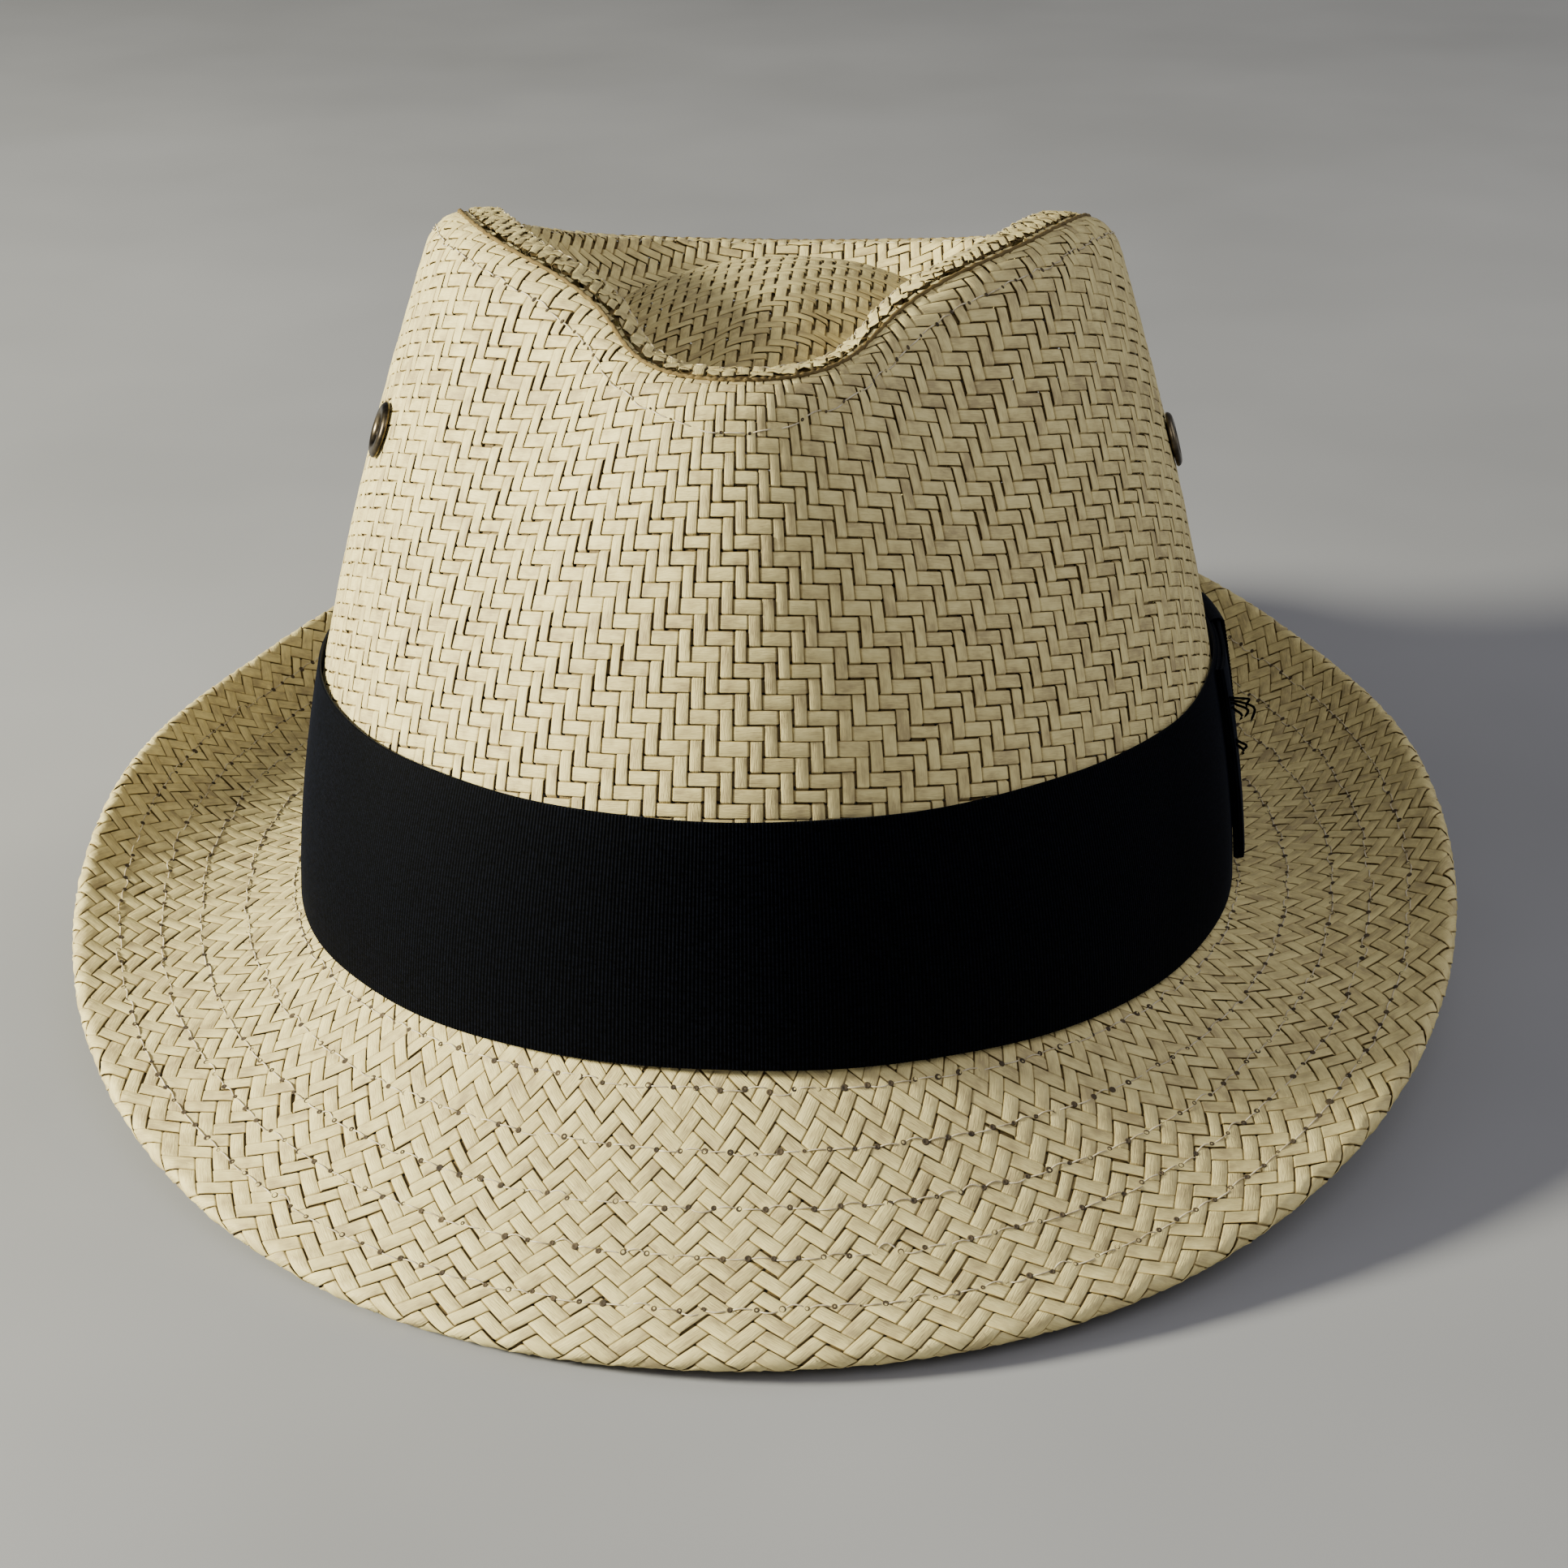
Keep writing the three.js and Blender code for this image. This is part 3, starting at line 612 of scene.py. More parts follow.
def crown_sheet(angle, height, rise):
    to_seam = (1 - height) * np.interp(angle, SPARSE, WALL_LENGTH)
    to_back = (math.pi - np.abs(angle)) * HEAD[0] * 0.8
    crease = GROOVE * (np.exp(-((to_seam / 0.6) ** 2)) + np.exp(-((to_back / 0.9) ** 2)))
    off_thread = (height - topstitch_height(angle)) * CROWN_MEAN_HEIGHT
    drawn = DRAWN_IN * np.exp(-((off_thread / 0.7) ** 2))
    return on_crown(angle, height, rise - SHEET - crease - drawn)


def near_eyelet(angle, height):
    point = crown_wall(angle, height)
    near = np.zeros(point.shape[:-1], bool)
    for seat in EYELETS.values():
        near |= np.linalg.norm(point - crown_wall(*map(np.array, seat)), axis=-1) < CUT_ROUND
    return near


def crown_side():
    columns = math.ceil(CONE * math.sin(HEAD_RUN[-1] / CONE) / PITCH) + 1
    rows = math.ceil((CONE - (CONE - WALL_LENGTH.max()) * math.cos(HEAD_RUN[-1] / CONE)) / PITCH)
    warp = Cloth(crown_spot, crown_sheet, 1, 0, False, 0.83)
    weft = Cloth(crown_spot, crown_sheet, 1, 3, True, 0.92)
    strips = np.arange(-columns, columns)
    woven(
        "crown_side_warp", warp, strips, [(-1, rows + 1)] * len(strips), ["crown_side"], near_eyelet
    )
    strips = np.arange(0, rows)
    woven("crown_side_weft", weft, strips, [(-columns, columns)] * rows, [], near_eyelet)


# ---- crown tip --------------------------------------------------------------------------------
TIP_SHARES = np.linspace(0, 1, 121)
TIP_RUN = lengths(tip_point(*np.broadcast_arrays(SPARSE[:, None], TIP_SHARES)), 1)
TIP_SPAN = TIP_RUN[:, -1]
TIP_READ = np.stack([np.interp(TIP_SHARES, r / r[-1], TIP_SHARES) for r in TIP_RUN])
TIP_BEARING = np.unwrap(np.arctan2(*(tip_edge(SPARSE)[0] - TIP_CENTRE).T[::-1]))


def tip_spot(i, j):
    x, y = i * PITCH, j * PITCH
    bearing = np.arctan2(y, x)
    first = TIP_BEARING[0]
    angle = np.interp((bearing - first) % TAU + first, TIP_BEARING, SPARSE)
    span = np.interp(angle, SPARSE, TIP_SPAN)
    in_from_seam = span - np.hypot(x, y)
    share = blended(TIP_READ, (angle + math.pi) / TAU, in_from_seam / span)
    return angle, np.clip(share, 0, 0.999), in_from_seam > 0


def tip_sheet(angle, share, rise):
    edge, _ = tip_edge(angle)
    in_from_seam = share * np.linalg.norm(edge - TIP_CENTRE, axis=-1)
    crushed = 1 - smoothstep(in_from_seam, WELT * 0.8, WELT * 1.4)
    crease = GROOVE * np.exp(-((in_from_seam / 0.9) ** 2))
    rough = 0.25 * crushed * np.sin(angle * 313 + in_from_seam * 2.1) * np.sin(angle * 171)
    return on_tip(angle, share, rise * (1 - 0.25 * crushed) + rough - crease)


def seam_edge():
    """The turned straw edge that stands proud along the tip seam."""
    turn = np.linspace(-math.pi, math.pi, 1200, endpoint=False)
    path = on_crown(turn, np.full_like(turn, 0.998), -0.25 + 0.08 * np.sin(turn * 187))
    path[:, :2] -= outward(turn) * (0.35 + 0.08 * np.sin(turn * 131))[:, None]
    along = unit(np.roll(path, -1, 0) - np.roll(path, 1, 0))
    side = unit(np.cross(along, [0, 0, 1]))
    up = np.cross(side, along)
    roll = np.linspace(0, TAU, 10, endpoint=False)[None, :, None]
    radius = (0.34 + 0.06 * np.sin(turn * 157) * np.sin(turn * 89))[:, None, None]
    rings = path[:, None] + radius * (side[:, None] * np.cos(roll) + up[:, None] * np.sin(roll))
    made = mesh_object("crown_seam_edge", *grid(rings, True, True), STRAW_LOOK)
    # painted shade for the straw look: 0.9 leaves the front unshaded and paints the back face dark
    painted_shade = made.data.attributes.new("painted_shade", "FLOAT", "POINT")
    painted_shade.data.foreach_set("value", np.full(rings.size // 3, 0.9, np.float32))
    line = made.data.attributes.new("strip", "FLOAT_VECTOR", "POINT")
    where = np.stack(np.broadcast_arrays(roll[..., 0] * 2, turn[:, None] * HEAD[0], 5.0), -1)
    line.data.foreach_set("vector", where.astype(np.float32).ravel())
    finished(made, "straw")


def crown_tip():
    reach = math.ceil(TIP_SPAN.max() / PITCH) + 1
    strips = np.arange(-reach, reach)
    for name, swap, offset, width in (("warp", False, 0, 0.8), ("weft", True, 3, 0.86)):
        cloth = Cloth(tip_spot, tip_sheet, 1, offset, swap, width, cuts=FINE)
        nodes = ["crown_tip"] if name == "warp" else []
        woven("crown_tip_" + name, cloth, strips, [(-reach, reach)] * len(strips), nodes)


# ---- brim: two families of strips, each slanting across the brim, turned over the edge --------
BRIM_SWING = 0.2
STITCH = 3.75  # from one needle hole to the next in the brim
FAMILY_A, FAMILY_B = 226, 182  # strips round the brim; together a multiple of 4
# strips per millimetre outwards, and how that falls as they crowd together sideways
OUTWARD_A = (0.24, 1.2, 0.311)
OUTWARD_B = (0.305, 0.25, 0.251)
TUCKED = -0.03  # share at which the cloth starts, under the ribbon
FOLD = 1.4  # radius of the folded edge
FOLD_UNDER = 1.6  # how far the cloth runs on beneath
FOLD_SHARE = 1 - FOLD / BRIM_WIDTH
BRIM_STEPS = np.linspace(-0.04, 1.12, 59)


def brim_tables():
    """Distances round the middle of the brim, and each family's count outwards."""
    middle = lengths(on_brim(ROUND, np.full_like(ROUND, 0.5), 0.0))
    step = 1e-3

    def stretch(share):
        ahead = on_brim(ROUND[:, None] + step, share[None, :], 0.0)
        behind = on_brim(ROUND[:, None] - step, share[None, :], 0.0)
        return np.linalg.norm(ahead - behind, axis=-1) / (2 * step)

    tangential = stretch(np.array([0.5])) / middle[-1] / stretch(np.minimum(BRIM_STEPS, 1))
    tables = []
    for count, (outwards, fall, even) in ((FAMILY_A, OUTWARD_A), (FAMILY_B, OUTWARD_B)):
        radial = np.maximum(outwards + fall * (even - count * tangential), 0.1)
        steps = np.diff(BRIM_STEPS) * brim_width(ROUND)[:, None]
        run = np.cumsum((radial[:, 1:] + radial[:, :-1]) / 2 * steps, axis=1)
        tables.append(np.concatenate([np.zeros((len(ROUND), 1)), run], 1))
    return middle / middle[-1], tables


BRIM_TURN, (COUNT_A, COUNT_B) = brim_tables()


def brim_spot(i, j):
    """Angle and share of a crossing, by Newton steps on the two counts."""
    turn = (i + j) / (FAMILY_A + FAMILY_B)
    share = np.full(np.shape(turn), 0.5)
    low, top = BRIM_STEPS[[0, -1]]
    small = 0.01

    def read(table, u, share):
        return blended(table, u, (share - low) / (top - low))

    for _ in range(8):
        u = np.interp(turn % 1, BRIM_TURN, np.linspace(0, 1, len(ROUND)))
        a, b = (read(t, u, share) for t in (COUNT_A, COUNT_B))
        within = np.clip(share, low + small, top - small)
        slope_a, slope_b = (
            (read(t, u, within + small) - read(t, u, within - small)) / (2 * small)
            for t in (COUNT_A, COUNT_B)
        )
        miss_a = FAMILY_A * turn + a - i
        miss_b = FAMILY_B * turn - b - j
        det = FAMILY_A * slope_b + FAMILY_B * slope_a
        turn = turn - (miss_a * slope_b + miss_b * slope_a) / det
        share = share - (miss_a * FAMILY_B - miss_b * FAMILY_A) / det
        share = np.clip(share, low - 0.02, top + 0.02)
    return np.interp(turn % 1, BRIM_TURN, ROUND), share


def folded_end():
    return FOLD_SHARE + (math.pi * FOLD + FOLD_UNDER) / BRIM_WIDTH


def top_spot(i, j):
    angle, share = brim_spot(i, j)
    end = folded_end()
    return angle, np.clip(share, TUCKED, end), (share > TUCKED) & (share < end)


STITCH_RUNS = [lengths(on_brim(ROUND, np.full_like(ROUND, s), 0.0)) for s in STITCH_ROWS]


def dimples(angle, share):
    """How far the cloth is drawn in at the needle holes."""
    drawn = np.zeros(np.shape(angle))
    for row, run in zip(STITCH_ROWS, STITCH_RUNS, strict=True):
        step = run[-1] / round(run[-1] / STITCH)
        along = np.interp(angle, ROUND, run) % step
        along = np.minimum(along, step - along)
        aside = (share - row) * BRIM_WIDTH
        drawn += 0.16 * np.exp(-(along**2 + aside**2) / 0.8) + 0.08 * np.exp(-(aside**2) / 0.5)
    return drawn


def top_sheet(angle, share, rise):
    """The upper cloth, which turns round the edge and ends beneath."""
    rise = rise - dimples(angle, share)
    flat = on_brim(angle, np.minimum(share, FOLD_SHARE), rise - SHEET)
    _, out, _, _, slope = brim_profile(angle, np.full_like(share, FOLD_SHARE))
    past = np.maximum(share - FOLD_SHARE, 0) * BRIM_WIDTH
    bend = np.minimum(past / FOLD, math.pi)
    under = np.maximum(past - math.pi * FOLD, 0)
    tangent = np.concatenate([out * np.cos(slope)[..., None], np.sin(slope)[..., None]], -1)
    normal = np.concatenate([-out * np.sin(slope)[..., None], np.cos(slope)[..., None]], -1)
    middle = on_brim(angle, np.full_like(share, FOLD_SHARE), -SHEET - FOLD)
    radius = (FOLD + rise)[..., None]
    round_edge = middle + radius * (
        tangent * np.sin(bend)[..., None] + normal * np.cos(bend)[..., None]
    )
    round_edge = round_edge - tangent * under[..., None]
    return np.where((past > 0)[..., None], round_edge, flat)


def under_spot(i, j):
    angle, share = brim_spot(i, j)
    return angle, np.clip(share, TUCKED, 0.975), (share > TUCKED) & (share < 0.975)


def under_sheet(angle, share, rise):
    return on_brim(angle, share, -(BRIM_DEPTH - SHEET) - rise)


def brim():
    reach = COUNT_A.max(), COUNT_B.max()
    layers = (
        ("brim_top", top_spot, top_sheet, "brim_upper", FINE),
        ("brim_under", under_spot, under_sheet, "brim_lower", COARSE),
    )
    for name, spot, sheet, node, cuts in layers:
        a = Cloth(spot, sheet, -1, 2, False, 0.93, BRIM_SWING, cuts)
        strips = np.arange(FAMILY_A)
        centre = strips * FAMILY_B / FAMILY_A
        spans = [(c - reach[0] - reach[1] - 2, c + 3) for c in centre]
        woven(name + "_a", a, strips, spans, [node])
        b = Cloth(spot, sheet, -1, 0, True, 0.93, BRIM_SWING, cuts)
        strips = np.arange(FAMILY_B)
        centre = strips * FAMILY_A / FAMILY_B
        spans = [(c - 3, c + reach[0] * 1.2 + reach[1] * 1.2 + 4) for c in centre]
        woven(name + "_b", b, strips, spans, [])


def interlining():
    turn = np.linspace(-math.pi, math.pi, 240, endpoint=False)
    shares = np.linspace(0.01, 0.96, 14)
    faces = []
    for depth in (1.2, 1.6):
        faces.append(on_brim(turn[:, None], shares, -depth))
    loop = np.concatenate([faces[0], faces[1][:, ::-1]], 1)
    made = mesh_object("brim_interlining_sheet", *grid(loop, True, True), LINEN_LOOK)
    finished(made, "interlining", "brim_interlining")


# ---- threads ----------------------------------------------------------------------------------
THREAD = 0.12


def tube(path, radius, sides=6):
    """A closed round thread along a line of points."""
    along = unit(np.gradient(path, axis=0))
    side = unit(np.cross(along, np.array([0.13, 0.29, 0.95])))
    other = np.cross(along, side)
    turn = np.linspace(0, TAU, sides, endpoint=False)
    ring = side[:, None] * np.cos(turn)[:, None] + other[:, None] * np.sin(turn)[:, None]
    taper = np.ones(len(path))
    taper[[0, -1]] = 0.05
    rings = path[:, None] + ring * (radius * taper)[:, None, None]
    return grid(rings, closed_columns=True)


def painted_hole_shade(surface, start, aside, rim, top):
    """A small dark dimpled disc of painted shade, laid on the straw where a stitch begins, standing
    in for the shade inside a needle hole.
    """
    turn = np.linspace(0, TAU, 9, endpoint=False)
    rings = [
        surface(start + r * np.cos(turn), np.full(9, z), r * np.sin(turn) + aside)
        for r, z in ((rim, top - 0.1), (rim * 0.85, top), (rim * 0.5, top - 0.05))
    ]
    centre = start + 0.02 * np.cos(turn)
    rings.append(surface(centre, np.full(9, top - 0.1), aside + 0 * turn))
    return grid(np.stack(rings), closed_columns=True)


def stitched(name, surface, length, pitch, slot_nodes, top, wander=0.3, hole=0.48):
    """Stitches lying on the straw, `top` above its middle, each with a dark disc of painted shade
    for a needle hole where it begins.
    """
    count = round(length / pitch)
    step = length / count
    threads, pits = [], []
    for n in range(count):
        start = n * step + rng.normal(0, 0.1)
        end = (n + 1) * step + rng.normal(0, 0.1)
        share = np.linspace(0, 1, 8)
        bow = np.sin(math.pi * share) ** 0.35
        high = -0.75 + (0.75 + top + 1.2 * THREAD + rng.normal(0, 0.03)) * bow
        aside = rng.normal(0, wander) * np.sin(math.pi * share) + rng.normal(0, wander / 2)
        threads.append(tube(surface(start + (end - start) * share, high, aside), THREAD))
        rim = hole * (1 + rng.normal(0, 0.15))
        if hole:
            pits.append(painted_hole_shade(surface, start, aside[0], rim, top))
    points, quads = joined(threads + pits)
    made = mesh_object(name, points, quads, THREAD_LOOK)
    if pits:
        # the discs take the painted shade of the needle holes
        made.data.materials.append(HOLE_SHADE_LOOK)
        dark = np.zeros(len(quads), np.int32)
        dark[sum(len(q) for _, q in threads) :] = 1
        made.data.polygons.foreach_set("material_index", dark)
    return finished(made, "thread", *slot_nodes)


def brim_stitches():
    for number, (share, run) in enumerate(zip(STITCH_ROWS, STITCH_RUNS, strict=True), 1):

        def surface(distance, lift, aside, share=share, run=run):
            angle = np.interp(distance % run[-1], run, ROUND)
            return on_brim(angle, share + aside / BRIM_WIDTH, lift - SHEET)

        name = f"brim_stitching_{number}"
        stitched(name, surface, run[-1], STITCH, [f"brim_stitch_{number}"], 0.15)


def crown_stitches():
    ring = crown_wall(ROUND, topstitch_height(ROUND))
    run = lengths(ring)

    def outside(distance, lift, aside):
        angle = np.interp(distance % run[-1], run, ROUND)
        return on_crown(angle, topstitch_height(angle) + aside / CROWN_MEAN_HEIGHT, lift - SHEET)

    stitched("crown_topstitching", outside, run[-1], 4.2, ["crown_topstitch"], 0.2, 0.2, 0.28)
    edge = lengths(tip_edge(ROUND)[0])

    def welt(distance, lift, aside):
        angle = np.interp(distance % edge[-1], edge, ROUND)
        span = np.linalg.norm(tip_edge(angle)[0] - TIP_CENTRE, axis=-1)
        return on_tip(angle, (WELT * 0.93 + aside) / span, lift - 0.1)

    stitched("welt_stitching", welt, edge[-1], 3.4, [], 0.15, hole=0)


# ---- ribbon -----------------------------------------------------------------------------------
RIB = 0.62  # from one rib to the next
RIB_HEIGHT = 0.07
PER_RIB = 4  # rows of faces to a rib


def ribbon(name, path, rise, levels, surface, nodes, closed=False):
    """A ribbed ribbon: distances along `path`, its lift there, and its levels across."""
    ribs = RIB_HEIGHT * np.cos(np.arange(len(path)) * TAU / PER_RIB)
    edges = np.array([0.35, 0.9, *[1] * (len(levels) - 4), 0.9, 0.35])
    rows = list(zip(levels, edges, strict=True))
    outer = [surface(path, z, rise + (RIBBON / 2 + ribs) * e) for z, e in rows]
    inner = [surface(path, z, rise - RIBBON / 2 * e) for z, e in rows]
    loop = np.stack(outer + inner[::-1], 1)
    points, quads = grid(loop, closed, True)
    if not closed:
        count = loop.shape[1]
        k = np.arange(count // 2 - 1)
        end = np.stack([k, k + 1, count - 2 - k, count - 1 - k], -1)
        quads = np.concatenate([quads, end[:, ::-1], end + len(points) - count])
    made = mesh_object(name, points, quads, RIBBON_LOOK)
    # rib heights, 0 in a groove to 1 on a rib top, which the ribbon look turns into a painted
    # highlight; the inner face stays at the middle
    tops = np.repeat((1 + ribs / RIB_HEIGHT)[:, None] / 2, loop.shape[1], 1)
    tops[:, len(levels) :] = 0.5
    rib = made.data.attributes.new("rib", "FLOAT", "POINT")
    rib.data.foreach_set("value", tops.astype(np.float32).ravel())
    return finished(made, "ribbon", *nodes)


def across_levels(low, high, count=9):
    inside = np.linspace(low + 0.35, high - 0.35, count)
    return [low, low + 0.1, *inside, high - 0.1, high]


def hatband():
    length = HEAD_LENGTH
    count = round(length / RIB) * PER_RIB
    path = np.arange(count) * length / count
    waver = 0.12 * (np.sin(path * TAU * 7 / length + 1) + np.sin(path * TAU * 17 / length + 2)) / 2

    def surface(distance, level, lift):
        angle = np.interp(distance - length / 2, HEAD_RUN, ROUND)
        share = (level - 20) / 20
        gap = 0.25 + 0.1 * np.sin(distance * TAU * 11 / length) * share
        return at_level(angle, level + waver * share, lift + gap)

    rise = np.full(count, RIBBON / 2 + 0.1)
    made = ribbon("hatband_ribbon", path, rise, across_levels(0.7, 40), surface, ["hatband"], True)


def bow_surface(distance, level, lift):
    """Distance is measured from the middle of the bow towards the back."""
    middle = np.interp(BOW_CENTRE, ROUND, HEAD_RUN)
    angle = np.interp(distance + middle, HEAD_RUN, ROUND)
    return at_level(angle, level, lift + FIT + RIBBON)


def bow_loop(name, reach, node):
    """A loop laid flat: along the hat, folded at its free end and back to the knot."""
    side = np.sign(reach)
    reach = abs(reach)
    lower, upper = 0.42, 1.35
    fold = (upper - lower) / 2
    steps = RIB / PER_RIB
    out = np.arange(2.0, reach - fold, steps)
    bend = np.linspace(-math.pi / 2, math.pi / 2, 13)[1:-1]
    path = np.concatenate([out, reach - fold + fold * np.cos(bend), out[::-1]])
    swell = 0.55 * np.exp(-(((out[::-1] - 5) / 6) ** 2))
    rise = np.concatenate(
        [np.full(len(out), lower), lower + fold + fold * np.sin(bend), upper + swell]
    )

    def surface(distance, level, lift):
        flare = 1 + 0.35 * (1 - level / 40)
        return bow_surface(distance, level, lift * flare)

    low, high = BOW_SPAN
    made = ribbon(name, side * path, rise, across_levels(low, high), surface, [node])


def bow_knot(node):
    """A short length of ribbon wrapped upright round the middle of the bow."""
    low, high = BOW_SPAN[0] - 1.2, BOW_SPAN[1] + 0.6
    inner, outer = 0.2, 2.55
    corner = (outer - inner) / 2
    steps = RIB / PER_RIB
    up = np.arange(low + corner, high - corner, steps)
    bend = np.linspace(-math.pi / 2, math.pi / 2, 11)[1:-1]
    level = np.concatenate(
        [up, high - corner + corner * np.cos(bend), up[::-1], low + corner - corner * np.cos(bend)]
    )
    bulge = 0.25 * np.sin(math.pi * (up - low) / (high - low))
    rise = np.concatenate(
        [
            np.full(len(up), inner),
            inner + corner + corner * np.sin(bend),
            outer + bulge[::-1],
            inner + corner - corner * np.sin(bend),
        ]
    )

    def surface(where, across, lift):
        return bow_surface(across + 0 * where, np.interp(where, np.arange(len(level)), level), lift)

    half = KNOT_HALF * HEAD[1] * 0.97
    made = ribbon(
        "bow_knot_wrap",
        np.arange(len(level), dtype=float),
        rise,
        across_levels(-half, half, 5),
        surface,
        [node],
        True,
    )


# level on the ribbon and length of each frayed thread
TUFTS = ((34, 4.2), (33.2, 4.8), (32.6, 3.6), (31.8, 2.4), (26, 2.6), (25.4, 2))
TUFT_RADIUS = 0.24


def loose_threads(front):
    """Frayed ribbon threads standing off the front loop's fold."""
    tufts = []
    for level, length in TUFTS:
        share = np.linspace(0, 1, 12)
        droop = rng.uniform(0.6, 1) * length
        out = 0.8 + length * np.sin(share * 2) + 0.4 * np.sin(share * 9 + level)
        path = bow_surface(front + 1.5 + np.sin(share * 5 + level), level - droop * share**3, out)
        tufts.append(tube(path, TUFT_RADIUS))
    finished(mesh_object("bow_frayed_threads", *joined(tufts), RIBBON_LOOK), "ribbon")


def bow():
    middle = np.interp(BOW_CENTRE, ROUND, HEAD_RUN)
    front = np.interp(BOW_FRONT, ROUND, HEAD_RUN) - middle
    rear = np.interp(BOW_REAR, ROUND, HEAD_RUN) - middle
    bow_loop("bow_loop_front_ribbon", front, "bow_loop_front")
    bow_loop("bow_loop_rear_ribbon", rear, "bow_loop_rear")
    bow_knot("bow_knot")
    loose_threads(front)


# ---- inside -----------------------------------------------------------------------------------
SWEATBAND = (0.7, 31)  # its levels above the break line
LINING = 0.6  # its thickness


def inner_band(name, low, high, depth, thickness, look, slot, node, shares=False):
    """A plain band inside the crown, between two levels or two shares of its height."""
    turn = np.linspace(-math.pi, math.pi, 360, endpoint=False)
    rows = np.linspace(low, high, 9)
    read = on_crown if shares else at_level
    outer, inner = (
        np.stack([read(turn, np.full_like(turn, r), np.full_like(turn, -d)) for r in rows], 1)
        for d in (depth, depth + thickness)
    )
    made = mesh_object(name, *grid(np.concatenate([outer, inner[:, ::-1]], 1), True, True), look)
    return finished(made, slot, node)


def inside():
    lining = 2 * (STRAW + FIT)
    low, high = SWEATBAND
    made = inner_band(
        "sweatband_cloth", low, high, lining, LINING, BAND_LOOK, "sweatband", "sweatband"
    )
    level = np.full_like(ROUND, (low + high) / 2)
    middle = at_level(ROUND, level, np.full_like(ROUND, -lining - LINING / 2))
    lengths(middle)[-1] / 1000
    inner_band(
        "seam_tape", 0.88, 0.94, STRAW + FIT, 0.4, TAPE_LOOK, "lining_tape", "tip_seam_tape", True
    )


def lathed(profile, seat, steps=48):
    """A turned ring round an eyelet's axis, its profile in radius and height above the straw."""
    angle, height = map(np.array, seat)
    normal = crown_normal(angle, height)
    up = unit(crown_wall(angle, height + 0.01) - crown_wall(angle, height - 0.01))
    across = np.cross(up, normal)
    turn = np.linspace(0, TAU, steps, endpoint=False)[:, None]
    radius, lift = np.array(profile, float).T
    points = (
        crown_wall(angle, height)
        + across * (radius * np.cos(turn))[..., None]
        + up * (radius * np.sin(turn))[..., None]
        + normal * lift[:, None]
    )
    return grid(points, True, True)


def eyelets():
    turn = np.linspace(0, math.pi, 9)
    flange = [(3.7 - 1.25 * math.cos(t), 0.25 + 0.95 * math.sin(t)) for t in turn]
    barrel = flange + [(4.7, 0.05), (3.2, 0.0), (2.95, -0.3), (2.9, -2.35)]
    barrel += [(4.0, -2.45), (4.1, -2.75), (3.2, -2.9), (2.55, -2.6), (2.45, 0.0)]
    washer = [(3.3, -1.35), (3.3, -1.85), (4.7, -1.9), (4.85, -1.7), (4.7, -1.4)]
    for name, seat in EYELETS.items():
        made = mesh_object(name + "_barrel", *lathed(barrel, seat), BRASS_LOOK)
        finished(made, "eyelet_metal", name)
        made = mesh_object(name + "_back", *lathed(washer, seat), BRASS_LOOK)
        finished(made, "eyelet_metal", name + "_washer")


# ---- camera, light and floor ------------------------------------------------------------------
def turned(v):
    """A direction of the hat's own frame, in the row frame."""
    origin = place(np.zeros(3))
    return Vector((place(np.array(v, float)) - origin) * 1000)


# the camera looks at AIM, from AWAY, then moves ASIDE and DOWN without turning
YAW, PITCH_DOWN = 2.75 * DEG, 19.03 * DEG
AIM, AWAY, ASIDE, DOWN = (0, 0, 50), 536.2, 2.61, 37.6


def camera():
    yaw, pitch = YAW, PITCH_DOWN
    back = (
        math.sin(yaw) * math.cos(pitch),
        -math.cos(yaw) * math.cos(pitch),
        math.sin(pitch),
    )
    right = (math.cos(yaw), math.sin(yaw), 0)
    up = np.cross(back, right)
    spot = np.array(AIM) + np.array(back) * AWAY + np.array(right) * ASIDE - up * DOWN
    made = bpy.data.objects.new("camera", bpy.data.cameras.new("camera"))
    bpy.context.scene.collection.objects.link(made)
    axes = Matrix([turned(right), turned(up), turned(back)]).transposed()
    made.matrix_world = Matrix.Translation(Vector(place(spot))) @ axes.to_4x4()
    made.data.sensor_width = 36
    made.data.lens = 68.05
    made.data.clip_start = 0.01
    bpy.context.scene.camera = made


def lamp(name, spot, aim, size, power, colour=(1, 1, 1)):
    data = bpy.data.lights.new(name, "AREA")
    data.shape = "DISK"
    data.size = size
    data.energy = power
    data.color = colour
    made = bpy.data.objects.new(name, data)
    bpy.context.scene.collection.objects.link(made)
    made.location = spot
    made.rotation_euler = (Vector(spot) - Vector(aim)).to_track_quat("Z", "Y").to_euler()


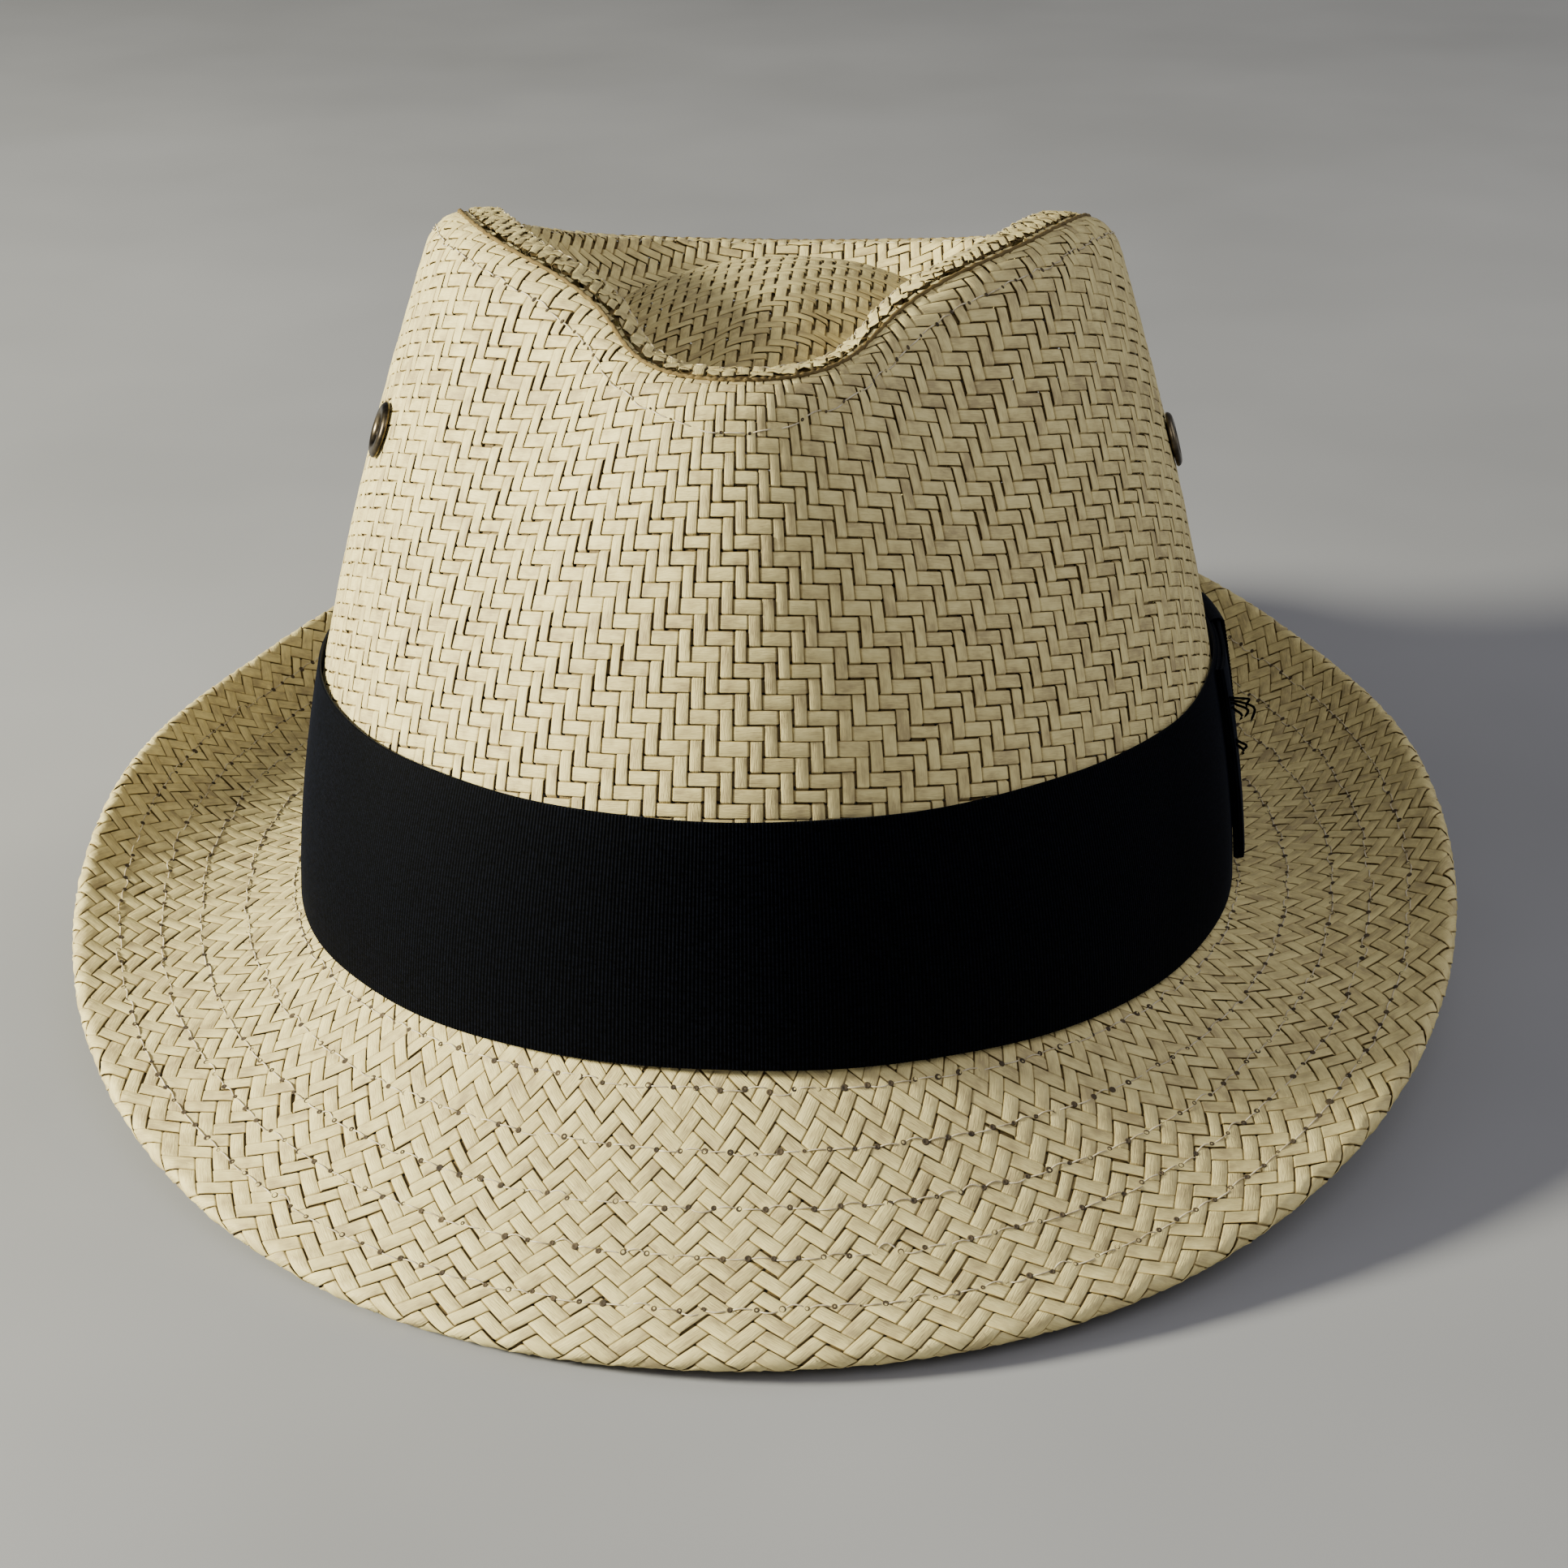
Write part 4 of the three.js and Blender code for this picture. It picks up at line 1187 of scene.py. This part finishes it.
FLOOR_REACH = 6.0  # metres to each side and towards the camera
BEND_FROM, BEND_RADIUS = 1.2, 1.5  # where the floor starts to curve up into the backdrop
BACKDROP_TOP = 4
FLOOR_DROP = 0.0004  # keeps the floor clear of the brim's strips


def studio():
    world = bpy.data.worlds.new("studio")
    bpy.context.scene.world = world
    world.use_nodes = True
    sky = world.node_tree.nodes["Background"]
    sky.inputs["Color"].default_value = (1, 0.98, 1, 1)
    sky.inputs["Strength"].default_value = 0.27
    lamp("key", (-1.24, -0.27, 0.52), (0, 0, 0.06), 0.3, 62, (1, 0.96, 0.76))
    lamp("top", (0.25, -0.9, 1.2), (0, 0, 0.05), 1.0, 5.0, (1, 0.98, 1))
    lamp("side", (1.25, 0.5, 0.7), (0, 0, 0.05), 0.9, 4, (0.97, 0.98, 1))
    floor_look = Look("floor", Roughness=0.85)
    place_in = floor_look.node("TexCoord").outputs["Object"]
    cloud = floor_look.noise(place_in, (6.0, 6.0, 6.0))
    floor_look.feed(
        "Base Color", floor_look.ramp(cloud, (0.3, (0.255, 0.26, 0.28)), (0.7, (0.31, 0.315, 0.34)))
    )
    bend = np.linspace(-math.pi / 2, 0, 16)
    wall = BEND_FROM + BEND_RADIUS
    y = np.concatenate([[-FLOOR_REACH, BEND_FROM], BEND_FROM + BEND_RADIUS * np.cos(bend), [wall]])
    z = np.concatenate([[0, 0], BEND_RADIUS + BEND_RADIUS * np.sin(bend), [BACKDROP_TOP]])
    z -= FLOOR_DROP
    sides = (-FLOOR_REACH, FLOOR_REACH)
    sweep = np.stack([np.stack([0 * y + side, y, z], -1) for side in sides])
    points, quads = grid(sweep)
    mesh = bpy.data.meshes.new("floor")
    mesh.from_pydata(points.tolist(), [], quads.tolist())
    mesh.materials.append(floor_look.material)
    mesh.shade_smooth()
    made = bpy.data.objects.new("floor", mesh)
    bpy.context.scene.collection.objects.link(made)


camera()
studio()
crown_side()
crown_tip()
seam_edge()
brim()
interlining()
brim_stitches()
crown_stitches()
hatband()
bow()
inside()
eyelets()
